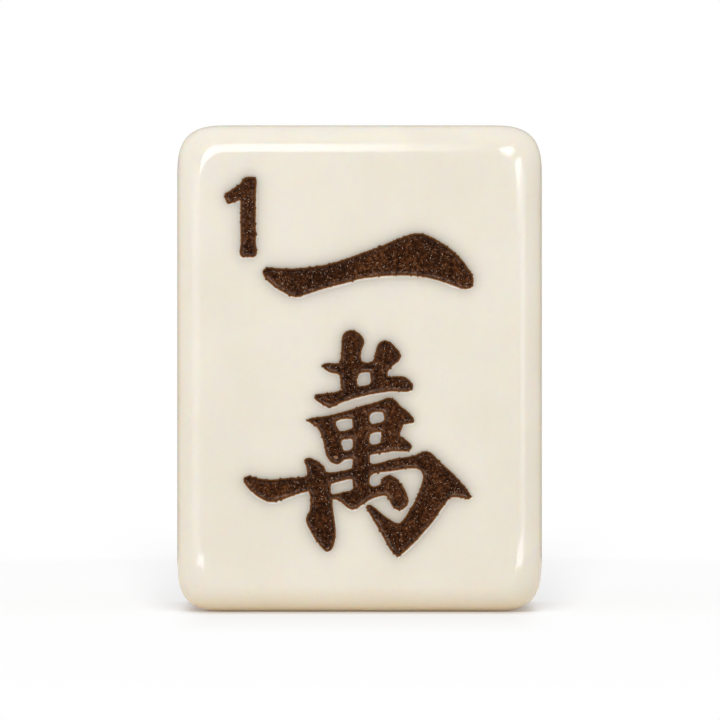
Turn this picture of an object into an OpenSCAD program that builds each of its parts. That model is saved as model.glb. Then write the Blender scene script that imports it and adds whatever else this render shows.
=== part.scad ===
// Mahjong tile, the one of ten thousands, standing on its lower end.
// A bone face slab is dovetailed and glued into a bamboo back slab, and the engraved marks
// of the face hold dried pigment. +Z is up, +X is right, and the marked face looks to -Y.

/* [Tile] */
// Width of the tile, left to right
tile_w = 30; // [26:0.5:36]
// Height of the tile, lower end to upper end
tile_h = 40; // [34:0.5:48]
// Thickness of the tile, marked face to back face
tile_t = 22; // [18:0.5:30]
// Radius of the four corners, seen from the front
corner_r = 3; // [2.5:0.1:5]
// Radius of the rolled edges round the front and the back
edge_r = 2.3; // [1:0.1:2.4]

/* [Face slab] */
// Thickness of the bone slab at its shoulders
face_t = 7.5; // [5:0.5:9]
// Depth of the engraved marks
engrave_d = 0.8; // [0.5:0.1:1.5]

/* [Dovetail] */
// Depth of the tail, from the shoulders into the back slab
tail_d = 3.5; // [2:0.5:5]
// Width of the tail at the shoulders
tail_w = 14; // [10:0.5:17]
// Flare of each flank of the tail, from the shoulders to the tip
tail_flare = 1.5; // [0.5:0.25:2]
// Glue gap between the two slabs, all round the dovetail
glue_gap = 0.05; // [0.02:0.01:0.2]

/* [Marks] */
// Clear margin of the face left and right of the marks
side_margin = 3.4; // [2.6:0.1:5]
// Clear margin of the face above and below the marks
end_margin = 3.85; // [2.6:0.05:6]
// Thickness of the dried pigment on the floor of the marks
pigment_t = 0.45; // [0.2:0.05:0.45]
// Straight steps that follow the curve between two points of an outline
curve_steps = 3; // [1:1:5]

/* [Hidden] */
$fn = 64;

// How far a cutting shape runs past the surface that it opens
overrun = 0.5;

// Planes that the two slabs are set out from, along Y
front_y = -tile_t / 2;
back_y = tile_t / 2;
shoulder_y = front_y + face_t;
tail_y = shoulder_y + tail_d;
pocket_y = front_y + engrave_d;

// Sideways gap beside a flank of the tail that leaves the glue gap square to the flank
flank_gap = glue_gap * norm([tail_flare, tail_d]) / tail_d;

// The engraved field, which all marks share
field_w = tile_w - 2 * side_margin;
field_h = tile_h - 2 * end_margin;

// Box of each mark in shares of the engraved field: left, bottom, width, height
numeral_box_shares = [0, 0.767, 0.159, 0.229];
stroke_box_shares = [0.148, 0.659, 0.777, 0.203];
sign_box_shares = [0.078, 0, 0.848, 0.609];

// Outlines in shares of their box, across and up. A third value of 1 makes a sharp corner.
numeral_shares = [
    [0.600, 0.941], [0.698, 0.948], [0.784, 0.948], [0.840, 0.931], [0.858, 0.899],
    [0.840, 0.764], [0.833, 0.588], [0.840, 0.303], [0.838, 0.169], [0.862, 0.120],
    [0.840, 0.077], [0.784, 0.061], [0.662, 0.069], [0.558, 0.059], [0.500, 0.091],
    [0.493, 0.133], [0.513, 0.233], [0.507, 0.446], [0.507, 0.658], [0.493, 0.694, 1],
    [0.358, 0.672], [0.267, 0.653], [0.202, 0.666], [0.167, 0.708], [0.153, 0.747],
    [0.182, 0.771], [0.287, 0.800], [0.387, 0.832], [0.487, 0.867], [0.542, 0.907]
];
stroke_shares = [
    [0.014, 0.408], [0.019, 0.445], [0.035, 0.471], [0.068, 0.466], [0.106, 0.455],
    [0.148, 0.455], [0.193, 0.463], [0.235, 0.476], [0.283, 0.496], [0.325, 0.521],
    [0.388, 0.574], [0.464, 0.651], [0.548, 0.734], [0.633, 0.830], [0.670, 0.871],
    [0.703, 0.893], [0.737, 0.890], [0.763, 0.868], [0.817, 0.794], [0.870, 0.693],
    [0.920, 0.560], [0.957, 0.414], [0.968, 0.349], [0.970, 0.294], [0.965, 0.239],
    [0.947, 0.208], [0.923, 0.208], [0.900, 0.225], [0.867, 0.262], [0.833, 0.293],
    [0.800, 0.319], [0.733, 0.361], [0.667, 0.375], [0.600, 0.374], [0.550, 0.363],
    [0.464, 0.335], [0.395, 0.284], [0.325, 0.235], [0.255, 0.179], [0.203, 0.130],
    [0.167, 0.103], [0.144, 0.115], [0.120, 0.144], [0.064, 0.238], [0.024, 0.348]
];
crown_shares = [
    [0.457, 0.977], [0.438, 0.969], [0.426, 0.948], [0.423, 0.917], [0.422, 0.883],
    [0.419, 0.855], [0.414, 0.841, 1], [0.388, 0.840], [0.364, 0.841], [0.345, 0.833],
    [0.352, 0.817], [0.371, 0.805], [0.392, 0.799], [0.411, 0.794], [0.418, 0.782],
    [0.418, 0.758], [0.422, 0.741], [0.425, 0.726, 1], [0.409, 0.724], [0.381, 0.717],
    [0.354, 0.714], [0.323, 0.710], [0.310, 0.700], [0.319, 0.686], [0.340, 0.672],
    [0.364, 0.660], [0.388, 0.660], [0.409, 0.671], [0.443, 0.686], [0.492, 0.700],
    [0.544, 0.712], [0.595, 0.720], [0.637, 0.725], [0.672, 0.723], [0.699, 0.723],
    [0.716, 0.734], [0.720, 0.748], [0.706, 0.769], [0.685, 0.783], [0.661, 0.787],
    [0.636, 0.785], [0.619, 0.782, 1], [0.612, 0.793], [0.616, 0.807], [0.627, 0.822],
    [0.648, 0.841], [0.663, 0.855], [0.670, 0.870], [0.661, 0.890], [0.644, 0.910],
    [0.623, 0.929], [0.603, 0.935], [0.582, 0.926], [0.570, 0.907], [0.565, 0.883],
    [0.558, 0.858], [0.552, 0.848, 1], [0.527, 0.843], [0.508, 0.850, 1], [0.502, 0.869],
    [0.506, 0.896], [0.515, 0.919], [0.516, 0.938], [0.506, 0.955], [0.485, 0.971]
];
crown_hole_shares = [
    [0.494, 0.795], [0.535, 0.805], [0.543, 0.796], [0.542, 0.755], [0.499, 0.744], [0.486, 0.750]
];
character_shares = [
    [0.277, 0.603, 1], [0.301, 0.613], [0.350, 0.619], [0.402, 0.630], [0.450, 0.644],
    [0.506, 0.662], [0.554, 0.674], [0.588, 0.686], [0.614, 0.697], [0.636, 0.693],
    [0.655, 0.679], [0.666, 0.664], [0.688, 0.647], [0.707, 0.630], [0.725, 0.603, 1],
    [0.718, 0.592], [0.696, 0.593], [0.679, 0.584], [0.672, 0.565], [0.665, 0.545],
    [0.673, 0.532], [0.692, 0.520], [0.709, 0.505], [0.715, 0.491], [0.707, 0.478],
    [0.688, 0.474], [0.636, 0.475], [0.592, 0.469], [0.554, 0.462], [0.542, 0.458],
    [0.540, 0.445], [0.541, 0.429], [0.549, 0.421, 1], [0.573, 0.423], [0.615, 0.435],
    [0.653, 0.444], [0.693, 0.450], [0.728, 0.458], [0.749, 0.467], [0.763, 0.473],
    [0.790, 0.470], [0.807, 0.457], [0.825, 0.438], [0.856, 0.408], [0.890, 0.378],
    [0.918, 0.347], [0.940, 0.320], [0.964, 0.286, 1], [0.953, 0.275], [0.935, 0.279],
    [0.908, 0.283], [0.880, 0.283], [0.866, 0.272], [0.845, 0.245], [0.821, 0.210],
    [0.797, 0.175], [0.769, 0.144], [0.742, 0.113], [0.714, 0.085], [0.686, 0.058],
    [0.657, 0.035, 1], [0.635, 0.053], [0.610, 0.093], [0.590, 0.130], [0.565, 0.172],
    [0.541, 0.213], [0.524, 0.241, 1], [0.531, 0.250], [0.548, 0.248], [0.573, 0.229],
    [0.600, 0.206], [0.628, 0.187], [0.652, 0.173, 1], [0.669, 0.177], [0.686, 0.196],
    [0.712, 0.238], [0.735, 0.279], [0.751, 0.320], [0.761, 0.355], [0.763, 0.372],
    [0.755, 0.390], [0.742, 0.400], [0.721, 0.404], [0.686, 0.402], [0.652, 0.396],
    [0.607, 0.390], [0.569, 0.386], [0.548, 0.376], [0.540, 0.362], [0.540, 0.341],
    [0.552, 0.329], [0.573, 0.331], [0.588, 0.338, 1], [0.589, 0.352], [0.600, 0.367],
    [0.619, 0.375], [0.641, 0.368], [0.662, 0.348], [0.681, 0.324], [0.694, 0.296],
    [0.701, 0.265], [0.690, 0.244], [0.669, 0.230], [0.648, 0.235], [0.631, 0.253],
    [0.621, 0.272], [0.610, 0.288, 1], [0.597, 0.290], [0.576, 0.287], [0.545, 0.275],
    [0.510, 0.254], [0.486, 0.237], [0.470, 0.232], [0.446, 0.241], [0.424, 0.262],
    [0.405, 0.272], [0.386, 0.277, 1], [0.384, 0.250], [0.389, 0.218], [0.394, 0.176],
    [0.398, 0.138], [0.394, 0.103], [0.384, 0.070], [0.365, 0.057], [0.352, 0.062],
    [0.333, 0.083], [0.314, 0.108], [0.295, 0.142], [0.280, 0.170], [0.276, 0.193],
    [0.284, 0.212], [0.290, 0.224], [0.293, 0.250], [0.293, 0.282], [0.290, 0.299],
    [0.285, 0.308, 1], [0.260, 0.303], [0.228, 0.294], [0.196, 0.281], [0.158, 0.268],
    [0.129, 0.264], [0.107, 0.268], [0.081, 0.282], [0.053, 0.304], [0.030, 0.326],
    [0.014, 0.356], [0.024, 0.367], [0.038, 0.371], [0.057, 0.366], [0.085, 0.360],
    [0.123, 0.355], [0.155, 0.357], [0.186, 0.361], [0.222, 0.362], [0.257, 0.366],
    [0.279, 0.371, 1], [0.280, 0.387], [0.276, 0.413], [0.268, 0.435], [0.276, 0.444],
    [0.293, 0.446], [0.311, 0.438], [0.333, 0.425], [0.350, 0.409], [0.359, 0.389, 1],
    [0.372, 0.386], [0.394, 0.387], [0.418, 0.391], [0.450, 0.398], [0.467, 0.405, 1],
    [0.470, 0.422], [0.469, 0.443, 1], [0.446, 0.442], [0.428, 0.435], [0.417, 0.424],
    [0.402, 0.420], [0.383, 0.427], [0.368, 0.442], [0.359, 0.459], [0.355, 0.481],
    [0.350, 0.508], [0.342, 0.533], [0.335, 0.552], [0.324, 0.570], [0.309, 0.584],
    [0.292, 0.594]
];
character_hole_shares = [
    [[0.400, 0.600], [0.465, 0.611], [0.470, 0.600], [0.468, 0.570], [0.422, 0.557], [0.409, 0.563]],
    [[0.539, 0.625], [0.549, 0.636], [0.584, 0.640], [0.600, 0.630], [0.597, 0.600], [0.549, 0.587],
     [0.540, 0.597]],
    [[0.422, 0.519], [0.465, 0.528], [0.470, 0.519], [0.468, 0.486], [0.437, 0.475], [0.427, 0.485]],
    [[0.540, 0.543], [0.549, 0.551], [0.587, 0.556], [0.591, 0.545], [0.587, 0.512], [0.547, 0.501],
     [0.539, 0.509]],
    [[0.376, 0.333], [0.387, 0.342], [0.424, 0.353], [0.465, 0.360], [0.470, 0.345], [0.469, 0.314],
     [0.432, 0.304], [0.387, 0.294], [0.378, 0.303]]
];

// Point of the face at a row of an outline, set out in its box in the engraved field
function face_point(row, box_shares) = [
    (box_shares[0] + row[0] * box_shares[2]) * field_w - field_w / 2,
    (box_shares[1] + row[1] * box_shares[3]) * field_h + end_margin
];

// Point of a cubic curve at t from 0 to 1, between two points with the given tangents
function cubic(p, q, leave, arrive, t) =
    (2 * t ^ 3 - 3 * t ^ 2 + 1) * p
    + (t ^ 3 - 2 * t ^ 2 + t) * leave
    + (3 * t ^ 2 - 2 * t ^ 3) * q
    + (t ^ 3 - t ^ 2) * arrive;

function unit(v) = v / norm(v);

// Steps from point i of a closed outline to the next, smooth unless a point is sharp
function stretch(points, sharp, i) =
    let (
        n = len(points),
        p = points[i],
        q = points[(i + 1) % n],
        chord = q - p,
        leave = sharp[i] ? chord : norm(chord) * unit(q - points[(i + n - 1) % n]),
        arrive = sharp[(i + 1) % n] ? chord : norm(chord) * unit(points[(i + 2) % n] - p)
    )
    [for (k = [0 : curve_steps - 1]) cubic(p, q, leave, arrive, k / curve_steps)];

// Flat shape of one closed outline
module outline(rows, box_shares) {
    points = [for (row = rows) face_point(row, box_shares)];
    sharp = [for (row = rows) len(row) == 3];
    polygon([for (i = [0 : len(rows) - 1]) each stretch(points, sharp, i)]);
}

module numeral_shape() outline(numeral_shares, numeral_box_shares);

module stroke_shape() outline(stroke_shares, stroke_box_shares);

module crown_shape() {
    difference() {
        outline(crown_shares, sign_box_shares);
        outline(crown_hole_shares, sign_box_shares);
    }
}

module character_shape() {
    difference() {
        outline(character_shares, sign_box_shares);
        for (hole_shares = character_hole_shares)
            outline(hole_shares, sign_box_shares);
    }
}

// A flat shape stood up on the floor of the marks, thick towards the front
module on_pocket_floor(thickness) {
    translate([0, pocket_y, 0])
        rotate([90, 0, 0])
            linear_extrude(thickness)
                children();
}

// Section of the tile with rolled edges, centred, w wide and tile_t thick
module rolled_section(w) {
    square([w - 2 * edge_r, tile_t], center = true);
    square([w, tile_t - 2 * edge_r], center = true);
    for (x = [-1, 1], y = [-1, 1])
        translate([x * (w / 2 - edge_r), y * (tile_t / 2 - edge_r)])
            circle(edge_r);
}

// One corner of the tile: a disc as thick as the tile, with rolled edges
module corner_disc() {
    rotate([90, 0, 0])
        rotate_extrude()
            intersection() {
                rolled_section(2 * corner_r);
                translate([0, -tile_t / 2])
                    square([corner_r, tile_t]);
            }
}

// Outer form of the whole tile
module tile_form() {
    straight_w = tile_w - 2 * corner_r;
    straight_h = tile_h - 2 * corner_r;
    for (x = [-1, 1], z = [0, 1])
        translate([x * straight_w / 2, 0, corner_r + z * straight_h])
            corner_disc();
    translate([0, 0, corner_r])
        linear_extrude(straight_h)
            rolled_section(tile_w);
    translate([-straight_w / 2, 0, tile_h / 2])
        rotate([90, 0, 90])
            linear_extrude(straight_w)
                rotate(90)
                    rolled_section(tile_h);
}

// Plan of the bone slab: a block with its dovetail tail
module face_plan() {
    polygon([
        [-tile_w / 2 - overrun, front_y - overrun],
        [tile_w / 2 + overrun, front_y - overrun],
        [tile_w / 2 + overrun, shoulder_y],
        [tail_w / 2, shoulder_y],
        [tail_w / 2 + tail_flare, tail_y],
        [-tail_w / 2 - tail_flare, tail_y],
        [-tail_w / 2, shoulder_y],
        [-tile_w / 2 - overrun, shoulder_y]
    ]);
}

// Plan of the bamboo slab: a block with the socket for the tail, one glue gap away
module back_plan() {
    root_w = tail_w / 2 + flank_gap + tail_flare * glue_gap / tail_d;
    tip_w = tail_w / 2 + flank_gap + tail_flare * (tail_d + glue_gap) / tail_d;
    polygon([
        [-tile_w / 2 - overrun, shoulder_y + glue_gap],
        [-root_w, shoulder_y + glue_gap],
        [-tip_w, tail_y + glue_gap],
        [tip_w, tail_y + glue_gap],
        [root_w, shoulder_y + glue_gap],
        [tile_w / 2 + overrun, shoulder_y + glue_gap],
        [tile_w / 2 + overrun, back_y + overrun],
        [-tile_w / 2 - overrun, back_y + overrun]
    ]);
}

// The part of the tile's form that stands on a plan
module slab() {
    intersection() {
        tile_form();
        translate([0, 0, -overrun])
            linear_extrude(tile_h + 2 * overrun)
                children();
    }
}

module face_slab() {
    color("ivory")
        difference() {
            slab()
                face_plan();
            on_pocket_floor(engrave_d + overrun) {
                numeral_shape();
                stroke_shape();
                crown_shape();
                character_shape();
            }
        }
}

module back_slab() {
    color("burlywood")
        slab()
            back_plan();
}

module numeral_fill() {
    color("saddlebrown")
        on_pocket_floor(pigment_t)
            numeral_shape();
}

module stroke_fill() {
    color("saddlebrown")
        on_pocket_floor(pigment_t)
            stroke_shape();
}

module crown_fill() {
    color("saddlebrown")
        on_pocket_floor(pigment_t)
            crown_shape();
}

module character_fill() {
    color("saddlebrown")
        on_pocket_floor(pigment_t)
            character_shape();
}

face_slab();
back_slab();
numeral_fill();
stroke_fill();
crown_fill();
character_fill();
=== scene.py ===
"""The looks of a mahjong tile, the one of ten thousands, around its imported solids.

Every solid of the frame is replaced by a finer mesh in the same place: the bone face slab with
its engraved grooves, the bamboo back slab and the four fills of dried pigment. Geometry Nodes
strew the pigment with crumbs and bright flecks. Lengths are in metres, +Z is up, and the marked
face looks to -Y.
"""

import logging
import math
from dataclasses import dataclass, field
from enum import Enum
from typing import Callable, Optional, Sequence, Union

import bmesh
import bpy
import numpy as np
from mathutils import Matrix, Vector, noise
from mathutils.geometry import delaunay_2d_cdt
from mathutils.kdtree import KDTree


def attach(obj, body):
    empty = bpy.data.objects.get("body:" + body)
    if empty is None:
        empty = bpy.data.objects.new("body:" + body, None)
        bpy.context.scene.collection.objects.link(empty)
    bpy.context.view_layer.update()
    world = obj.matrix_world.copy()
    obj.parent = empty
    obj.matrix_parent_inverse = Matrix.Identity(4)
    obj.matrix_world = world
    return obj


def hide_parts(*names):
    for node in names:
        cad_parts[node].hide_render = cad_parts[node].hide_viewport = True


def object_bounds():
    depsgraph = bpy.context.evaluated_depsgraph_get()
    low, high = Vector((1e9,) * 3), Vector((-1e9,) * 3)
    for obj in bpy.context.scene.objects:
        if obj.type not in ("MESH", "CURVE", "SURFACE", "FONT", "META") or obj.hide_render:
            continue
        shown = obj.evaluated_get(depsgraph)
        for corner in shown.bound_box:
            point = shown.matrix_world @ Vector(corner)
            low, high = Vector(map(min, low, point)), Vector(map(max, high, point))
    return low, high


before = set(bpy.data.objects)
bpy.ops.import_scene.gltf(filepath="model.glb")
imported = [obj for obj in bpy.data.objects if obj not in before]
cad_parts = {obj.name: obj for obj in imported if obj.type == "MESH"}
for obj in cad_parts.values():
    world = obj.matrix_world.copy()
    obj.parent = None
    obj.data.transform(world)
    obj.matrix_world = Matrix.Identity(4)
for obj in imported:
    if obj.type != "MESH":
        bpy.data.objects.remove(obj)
CAD_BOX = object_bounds()

MM = 0.001
BODY = "root"
# Distances below which points are one point: in a slab, and where the engraved face meets it
WELD, FACE_WELD = 1e-8, 2e-7
# Distances below which points lie at one level, and on the border of the face
LEVEL, ON_BORDER = 1e-6, 1e-7
# Edges above these angles in degrees stay sharp: on a joint, on a form and on the pigment
JOINT_SHARP, FORM_SHARP, CRUST_SHARP = 15.0, 40.0, 60.0
# How far round the joint the slabs are treated as part of it
JOINT_REACH = 1.5 * MM
# Faces that meet at less than EVEN are one flat, an edge over BROKEN gets a bevel, and an end's
# normal has more than UPRIGHT of its length along Z
EVEN, BROKEN, UPRIGHT = 1e-4, math.radians(30), 0.999
# Least distance between points in millimetres when triangles are made, and what stands in for a
# divisor of zero
LEAST_GAP, TINY = 1e-6, 1e-18
# Steps of a metre by which points of the frame are told apart
STEPS = 1e7
# Number of points that are tested against the outlines at a time
BATCH = 4096
log = logging.getLogger("tile")

Colour = tuple[float, float, float]
# A value along each axis, from one value to another, and a direction in x and z
Axes = tuple[float, float, float]
Span = tuple[float, float]
Way = tuple[float, float]


def srgb(red: int, green: int, blue: int) -> Colour:
    """A colour as its linear parts, from its parts of 255 as a screen shows them.

    Args:
        red: The red part.
        green: The green part.
        blue: The blue part.

    Returns:
        The linear parts.
    """
    parts = []
    for value in (red, green, blue):
        share = value / 255
        parts.append(share / 12.92 if share <= 0.04045 else ((share + 0.055) / 1.055) ** 2.4)
    return tuple(parts)


# Node graphs

Value = Union["Signal", float, Sequence[float]]


def _operator(operation: str, swapped: bool = False) -> Callable[["Signal", Value], "Signal"]:
    """A method of Signal that adds a Math node.

    Args:
        operation: The node's operation.
        swapped: True where the signal is the second of the two values.

    Returns:
        The method.
    """
    def method(signal: "Signal", other: Value) -> "Signal":
        """The result of the node."""
        pair = (other, signal) if swapped else (signal, other)
        return signal.graph.node("ShaderNodeMath", {"operation": operation},
                                 dict(enumerate(pair)))[0]
    return method


class Signal:
    """A value on its way through a node tree, which adds Math nodes when it is calculated with."""

    __add__, __radd__ = _operator("ADD"), _operator("ADD", True)
    __sub__, __rsub__ = _operator("SUBTRACT"), _operator("SUBTRACT", True)
    __mul__, __rmul__ = _operator("MULTIPLY"), _operator("MULTIPLY", True)
    __truediv__, __rtruediv__ = _operator("DIVIDE"), _operator("DIVIDE", True)
    __pow__, __rpow__ = _operator("POWER"), _operator("POWER", True)
    at_least = _operator("MAXIMUM")

    def __init__(self, graph: "Graph", socket: bpy.types.NodeSocket) -> None:
        """Wraps an output socket of a node on the graph."""
        self.graph = graph
        self.socket = socket


class Step:
    """A node that was added to a graph, whose outputs are taken by number or name."""

    def __init__(self, graph: "Graph", node: bpy.types.Node) -> None:
        """Wraps a node on the graph."""
        self.graph = graph
        self.node = node

    def __getitem__(self, output: Union[int, str]) -> Signal:
        """The signal of one output."""
        return Signal(self.graph, self.node.outputs[output])


class Graph:
    """A node tree that is built from the outside in, by one method for any node."""

    def __init__(self, tree: bpy.types.NodeTree) -> None:
        """Empties the tree.

        Args:
            tree: The node tree of a material, a light, the world or a Geometry Nodes group.
        """
        self.tree = tree
        tree.nodes.clear()

    def node(self, kind: str, settings: Optional[dict] = None,
             inputs: Optional[dict] = None) -> Step:
        """Adds a node.

        Args:
            kind: Type name of the node.
            settings: Properties, which are set first. The key stops holds a ramp's positions and
                colours.
            inputs: Values or signals by the number or name of the socket.

        Returns:
            The step, whose outputs are signals.
        """
        made = self.tree.nodes.new(kind)
        for name, value in (settings or {}).items():
            if name == "stops":
                self._set_stops(made.color_ramp, value)
            else:
                setattr(made, name, value)
        for name, value in (inputs or {}).items():
            socket = made.inputs[name]
            if isinstance(value, Signal):
                self.tree.links.new(value.socket, socket)
            else:
                socket.default_value = self._fitted(socket, value)
        return Step(self, made)

    @staticmethod
    def _fitted(socket: bpy.types.NodeSocket, value: Value) -> Value:
        """A colour with its alpha added, or the value as it is."""
        if socket.type == "RGBA" and len(value) == 3:
            return (*value, 1.0)
        return value

    @staticmethod
    def _set_stops(ramp: bpy.types.ColorRamp, stops: Sequence[tuple[float, Colour]]) -> None:
        """Gives a ramp its positions and colours.

        Args:
            ramp: Ramp of a Color Ramp node.
            stops: A position and a colour for each of its stops.
        """
        while len(ramp.elements) < len(stops):
            ramp.elements.new(1.0)
        for element, (position, colour) in zip(ramp.elements, stops):
            element.position = position
            element.color = (*colour, 1.0)

    def attribute(self, name: str) -> Signal:
        """The value that the mesh keeps under a name."""
        return self.node("ShaderNodeAttribute", {"attribute_name": name})["Fac"]

    def spot(self) -> Signal:
        """Object coordinates."""
        return self.node("ShaderNodeTexCoord")["Object"]

    def axes(self) -> Step:
        """Object coordinates as their X, Y and Z."""
        return self.node("ShaderNodeSeparateXYZ", {}, {0: self.spot()})

    def place(self, scale: Axes = (1.0, 1.0, 1.0)) -> Signal:
        """Object coordinates, stretched by a scale along each axis."""
        return self.node("ShaderNodeMapping", {}, {"Vector": self.spot(), "Scale": scale})[0]

    def seen(self) -> Signal:
        """1 for rays that the camera, metal or glass sends out, and 0 for the others."""
        path = self.node("ShaderNodeLightPath")
        seen = path["Is Camera Ray"].at_least(path["Is Glossy Ray"])
        return seen.at_least(path["Is Transmission Ray"])

    def noise(self, place: Signal, scale: float, detail: float = 3.0,
              roughness: float = 0.5) -> Signal:
        """Fractal noise from 0 to 1."""
        return self.node("ShaderNodeTexNoise", {}, {
            "Vector": place, "Scale": scale, "Detail": detail, "Roughness": roughness})["Fac"]

    def cells(self, place: Signal, scale: float, output: str = "Distance",
              dimensions: str = "3D") -> Signal:
        """Voronoi cells: the distance to the nearest cell's point, or its colour."""
        return self.node("ShaderNodeTexVoronoi", {"voronoi_dimensions": dimensions}, {
            "Vector": place, "Scale": scale})[output]

    def between(self, value: Signal, low: float, high: float) -> Signal:
        """0 below low, 1 above high and smooth between them, or falling where low is above high."""
        return self.node("ShaderNodeMapRange", {"interpolation_type": "SMOOTHSTEP"}, {
            "Value": value, "From Min": low, "From Max": high})[0]

    def mixed(self, share: Value, first: Value, second: Value, blend: str = "MIX") -> Signal:
        """Two colours mixed by a share."""
        step = self.node("ShaderNodeMix", {"data_type": "RGBA", "blend_type": blend}, {
            0: share, 6: first, 7: second})
        return step[2]

    def ramp(self, value: Signal, stops: Sequence[tuple[float, Colour]]) -> Signal:
        """A colour picked by a value along a ramp."""
        return self.node("ShaderNodeValToRGB", {"stops": stops}, {"Fac": value})["Color"]

    def bump(self, height: Signal, distance: float, strength: float = 1.0) -> Signal:
        """A normal that follows a height, which is 1 at the distance above the surface."""
        return self.node("ShaderNodeBump", {}, {
            "Height": height, "Distance": distance, "Strength": strength})["Normal"]


def new_material(name: str) -> tuple[bpy.types.Material, Graph]:
    """An empty material and its graph."""
    made = bpy.data.materials.new(name)
    made.use_nodes = True
    return made, Graph(made.node_tree)


def close_material(graph: Graph, shader: Signal) -> None:
    """Links the shader to the material's output."""
    graph.node("ShaderNodeOutputMaterial", {}, {"Surface": shader})


# Finishes


@dataclass(frozen=True)
class BoneFinish:
    """Polished bone: warm ivory that light soaks into, with stained groove walls, painted shade
    round the marks, along the outline and towards the bottom, and painted light and shade on the
    walls.
    """

    pale: Colour = srgb(237, 232, 221)
    warm: Colour = srgb(233, 227, 214)
    # Painted shade: the grey round the marks, and a cooler grey inside their holes
    shade_grey: Colour = srgb(173, 167, 158)
    hole_shade_grey: Colour = srgb(170, 167, 166)
    bleed: Colour = srgb(182, 146, 108)
    # The wall stain in a lit and a shaded version, painted light and shade chosen by the way the
    # edge faces
    lit_stain: Colour = srgb(172, 118, 76)
    shaded_stain: Colour = srgb(124, 84, 40)
    umber: Colour = srgb(104, 64, 32)
    speck: Colour = srgb(62, 38, 22)
    # Painted shade: darker and warmer along the outline, less so near the top, warmer towards the
    # bottom and brown at the line of contact
    rim_shade_tint: Colour = (1.0, 0.945, 0.865)
    foot_shade_tint: Colour = (1.03, 0.98, 0.88)
    heel_shade_tint: Colour = (1.02, 0.91, 0.74)
    soak_depth: float = 0.7 * MM
    soak_colour: Colour = (1.0, 0.72, 0.46)
    gloss: float = 0.045
    cloud_scale: float = 140.0
    streak_scale: Axes = (900.0, 900.0, 90.0)
    patch_scale: float = 5200.0
    ripple_scale: float = 700.0
    ripple_height: float = 1.5e-6
    heel_power: float = 6.0

    def material(self) -> bpy.types.Material:
        """Builds the material, which reads the mesh's stains and its painted shade and light.

        Returns:
            The new material.
        """
        made, graph = new_material("bone")
        place = graph.place()
        clouds = graph.between(graph.noise(place, self.cloud_scale, 4.0), 0.35, 0.7)
        streaks = graph.noise(graph.place(self.streak_scale), 1.0, 2.0)
        ground = graph.mixed(clouds * 0.7 + streaks * 0.3, self.pale, self.warm)
        # Painted shade along the outline and towards the bottom edge
        ground = graph.mixed(graph.attribute("side"), ground, self.rim_shade_tint, "MULTIPLY")
        foot = graph.attribute("foot")
        ground = graph.mixed(foot, ground, self.foot_shade_tint, "MULTIPLY")
        ground = graph.mixed(foot ** self.heel_power, ground, self.heel_shade_tint, "MULTIPLY")
        # Painted shade round the marks, cooler inside the holes
        shade = graph.mixed(graph.attribute("hole_shade"), self.shade_grey, self.hole_shade_grey)
        ground = graph.mixed(graph.attribute("mark_shade"), ground, shade)
        patches = graph.noise(place, self.patch_scale, 2.0) * 0.4
        patchy = graph.between(graph.attribute("stain") + patches - 0.2, 0.0, 0.85)
        # Painted light and shade on the stained walls: lighter where the edge faces down and left,
        # darker elsewhere
        rim = graph.mixed(graph.attribute("lit"), self.shaded_stain, self.lit_stain)
        stained = graph.mixed(graph.between(patchy, 0.0, 0.3), self.bleed, rim)
        stained = graph.mixed(graph.between(patchy, 0.4, 0.8), stained, self.umber)
        speck = graph.attribute("speck")
        stained = graph.mixed(speck, stained, self.speck)
        ripple = graph.noise(place, self.ripple_scale, 2.0)
        bone = graph.node("ShaderNodeBsdfPrincipled", {"subsurface_method": "RANDOM_WALK"}, {
            "Base Color": ground, "Roughness": self.gloss + clouds * 0.02, "IOR": 1.5,
            "Subsurface Weight": 1.0, "Subsurface Scale": self.soak_depth,
            "Subsurface Radius": self.soak_colour, "Subsurface Anisotropy": 0.2,
            "Normal": graph.bump(ripple, self.ripple_height)})
        dry = graph.node("ShaderNodeBsdfPrincipled", {}, {
            "Base Color": stained, "Roughness": 0.6, "IOR": 1.5, "Specular IOR Level": 0.05})
        share = graph.between(patchy, 0.0, 0.22).at_least(speck)
        close_material(graph, graph.node("ShaderNodeMixShader", {}, {
            0: share, 1: bone[0], 2: dry[0]})[0])
        return made


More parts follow.
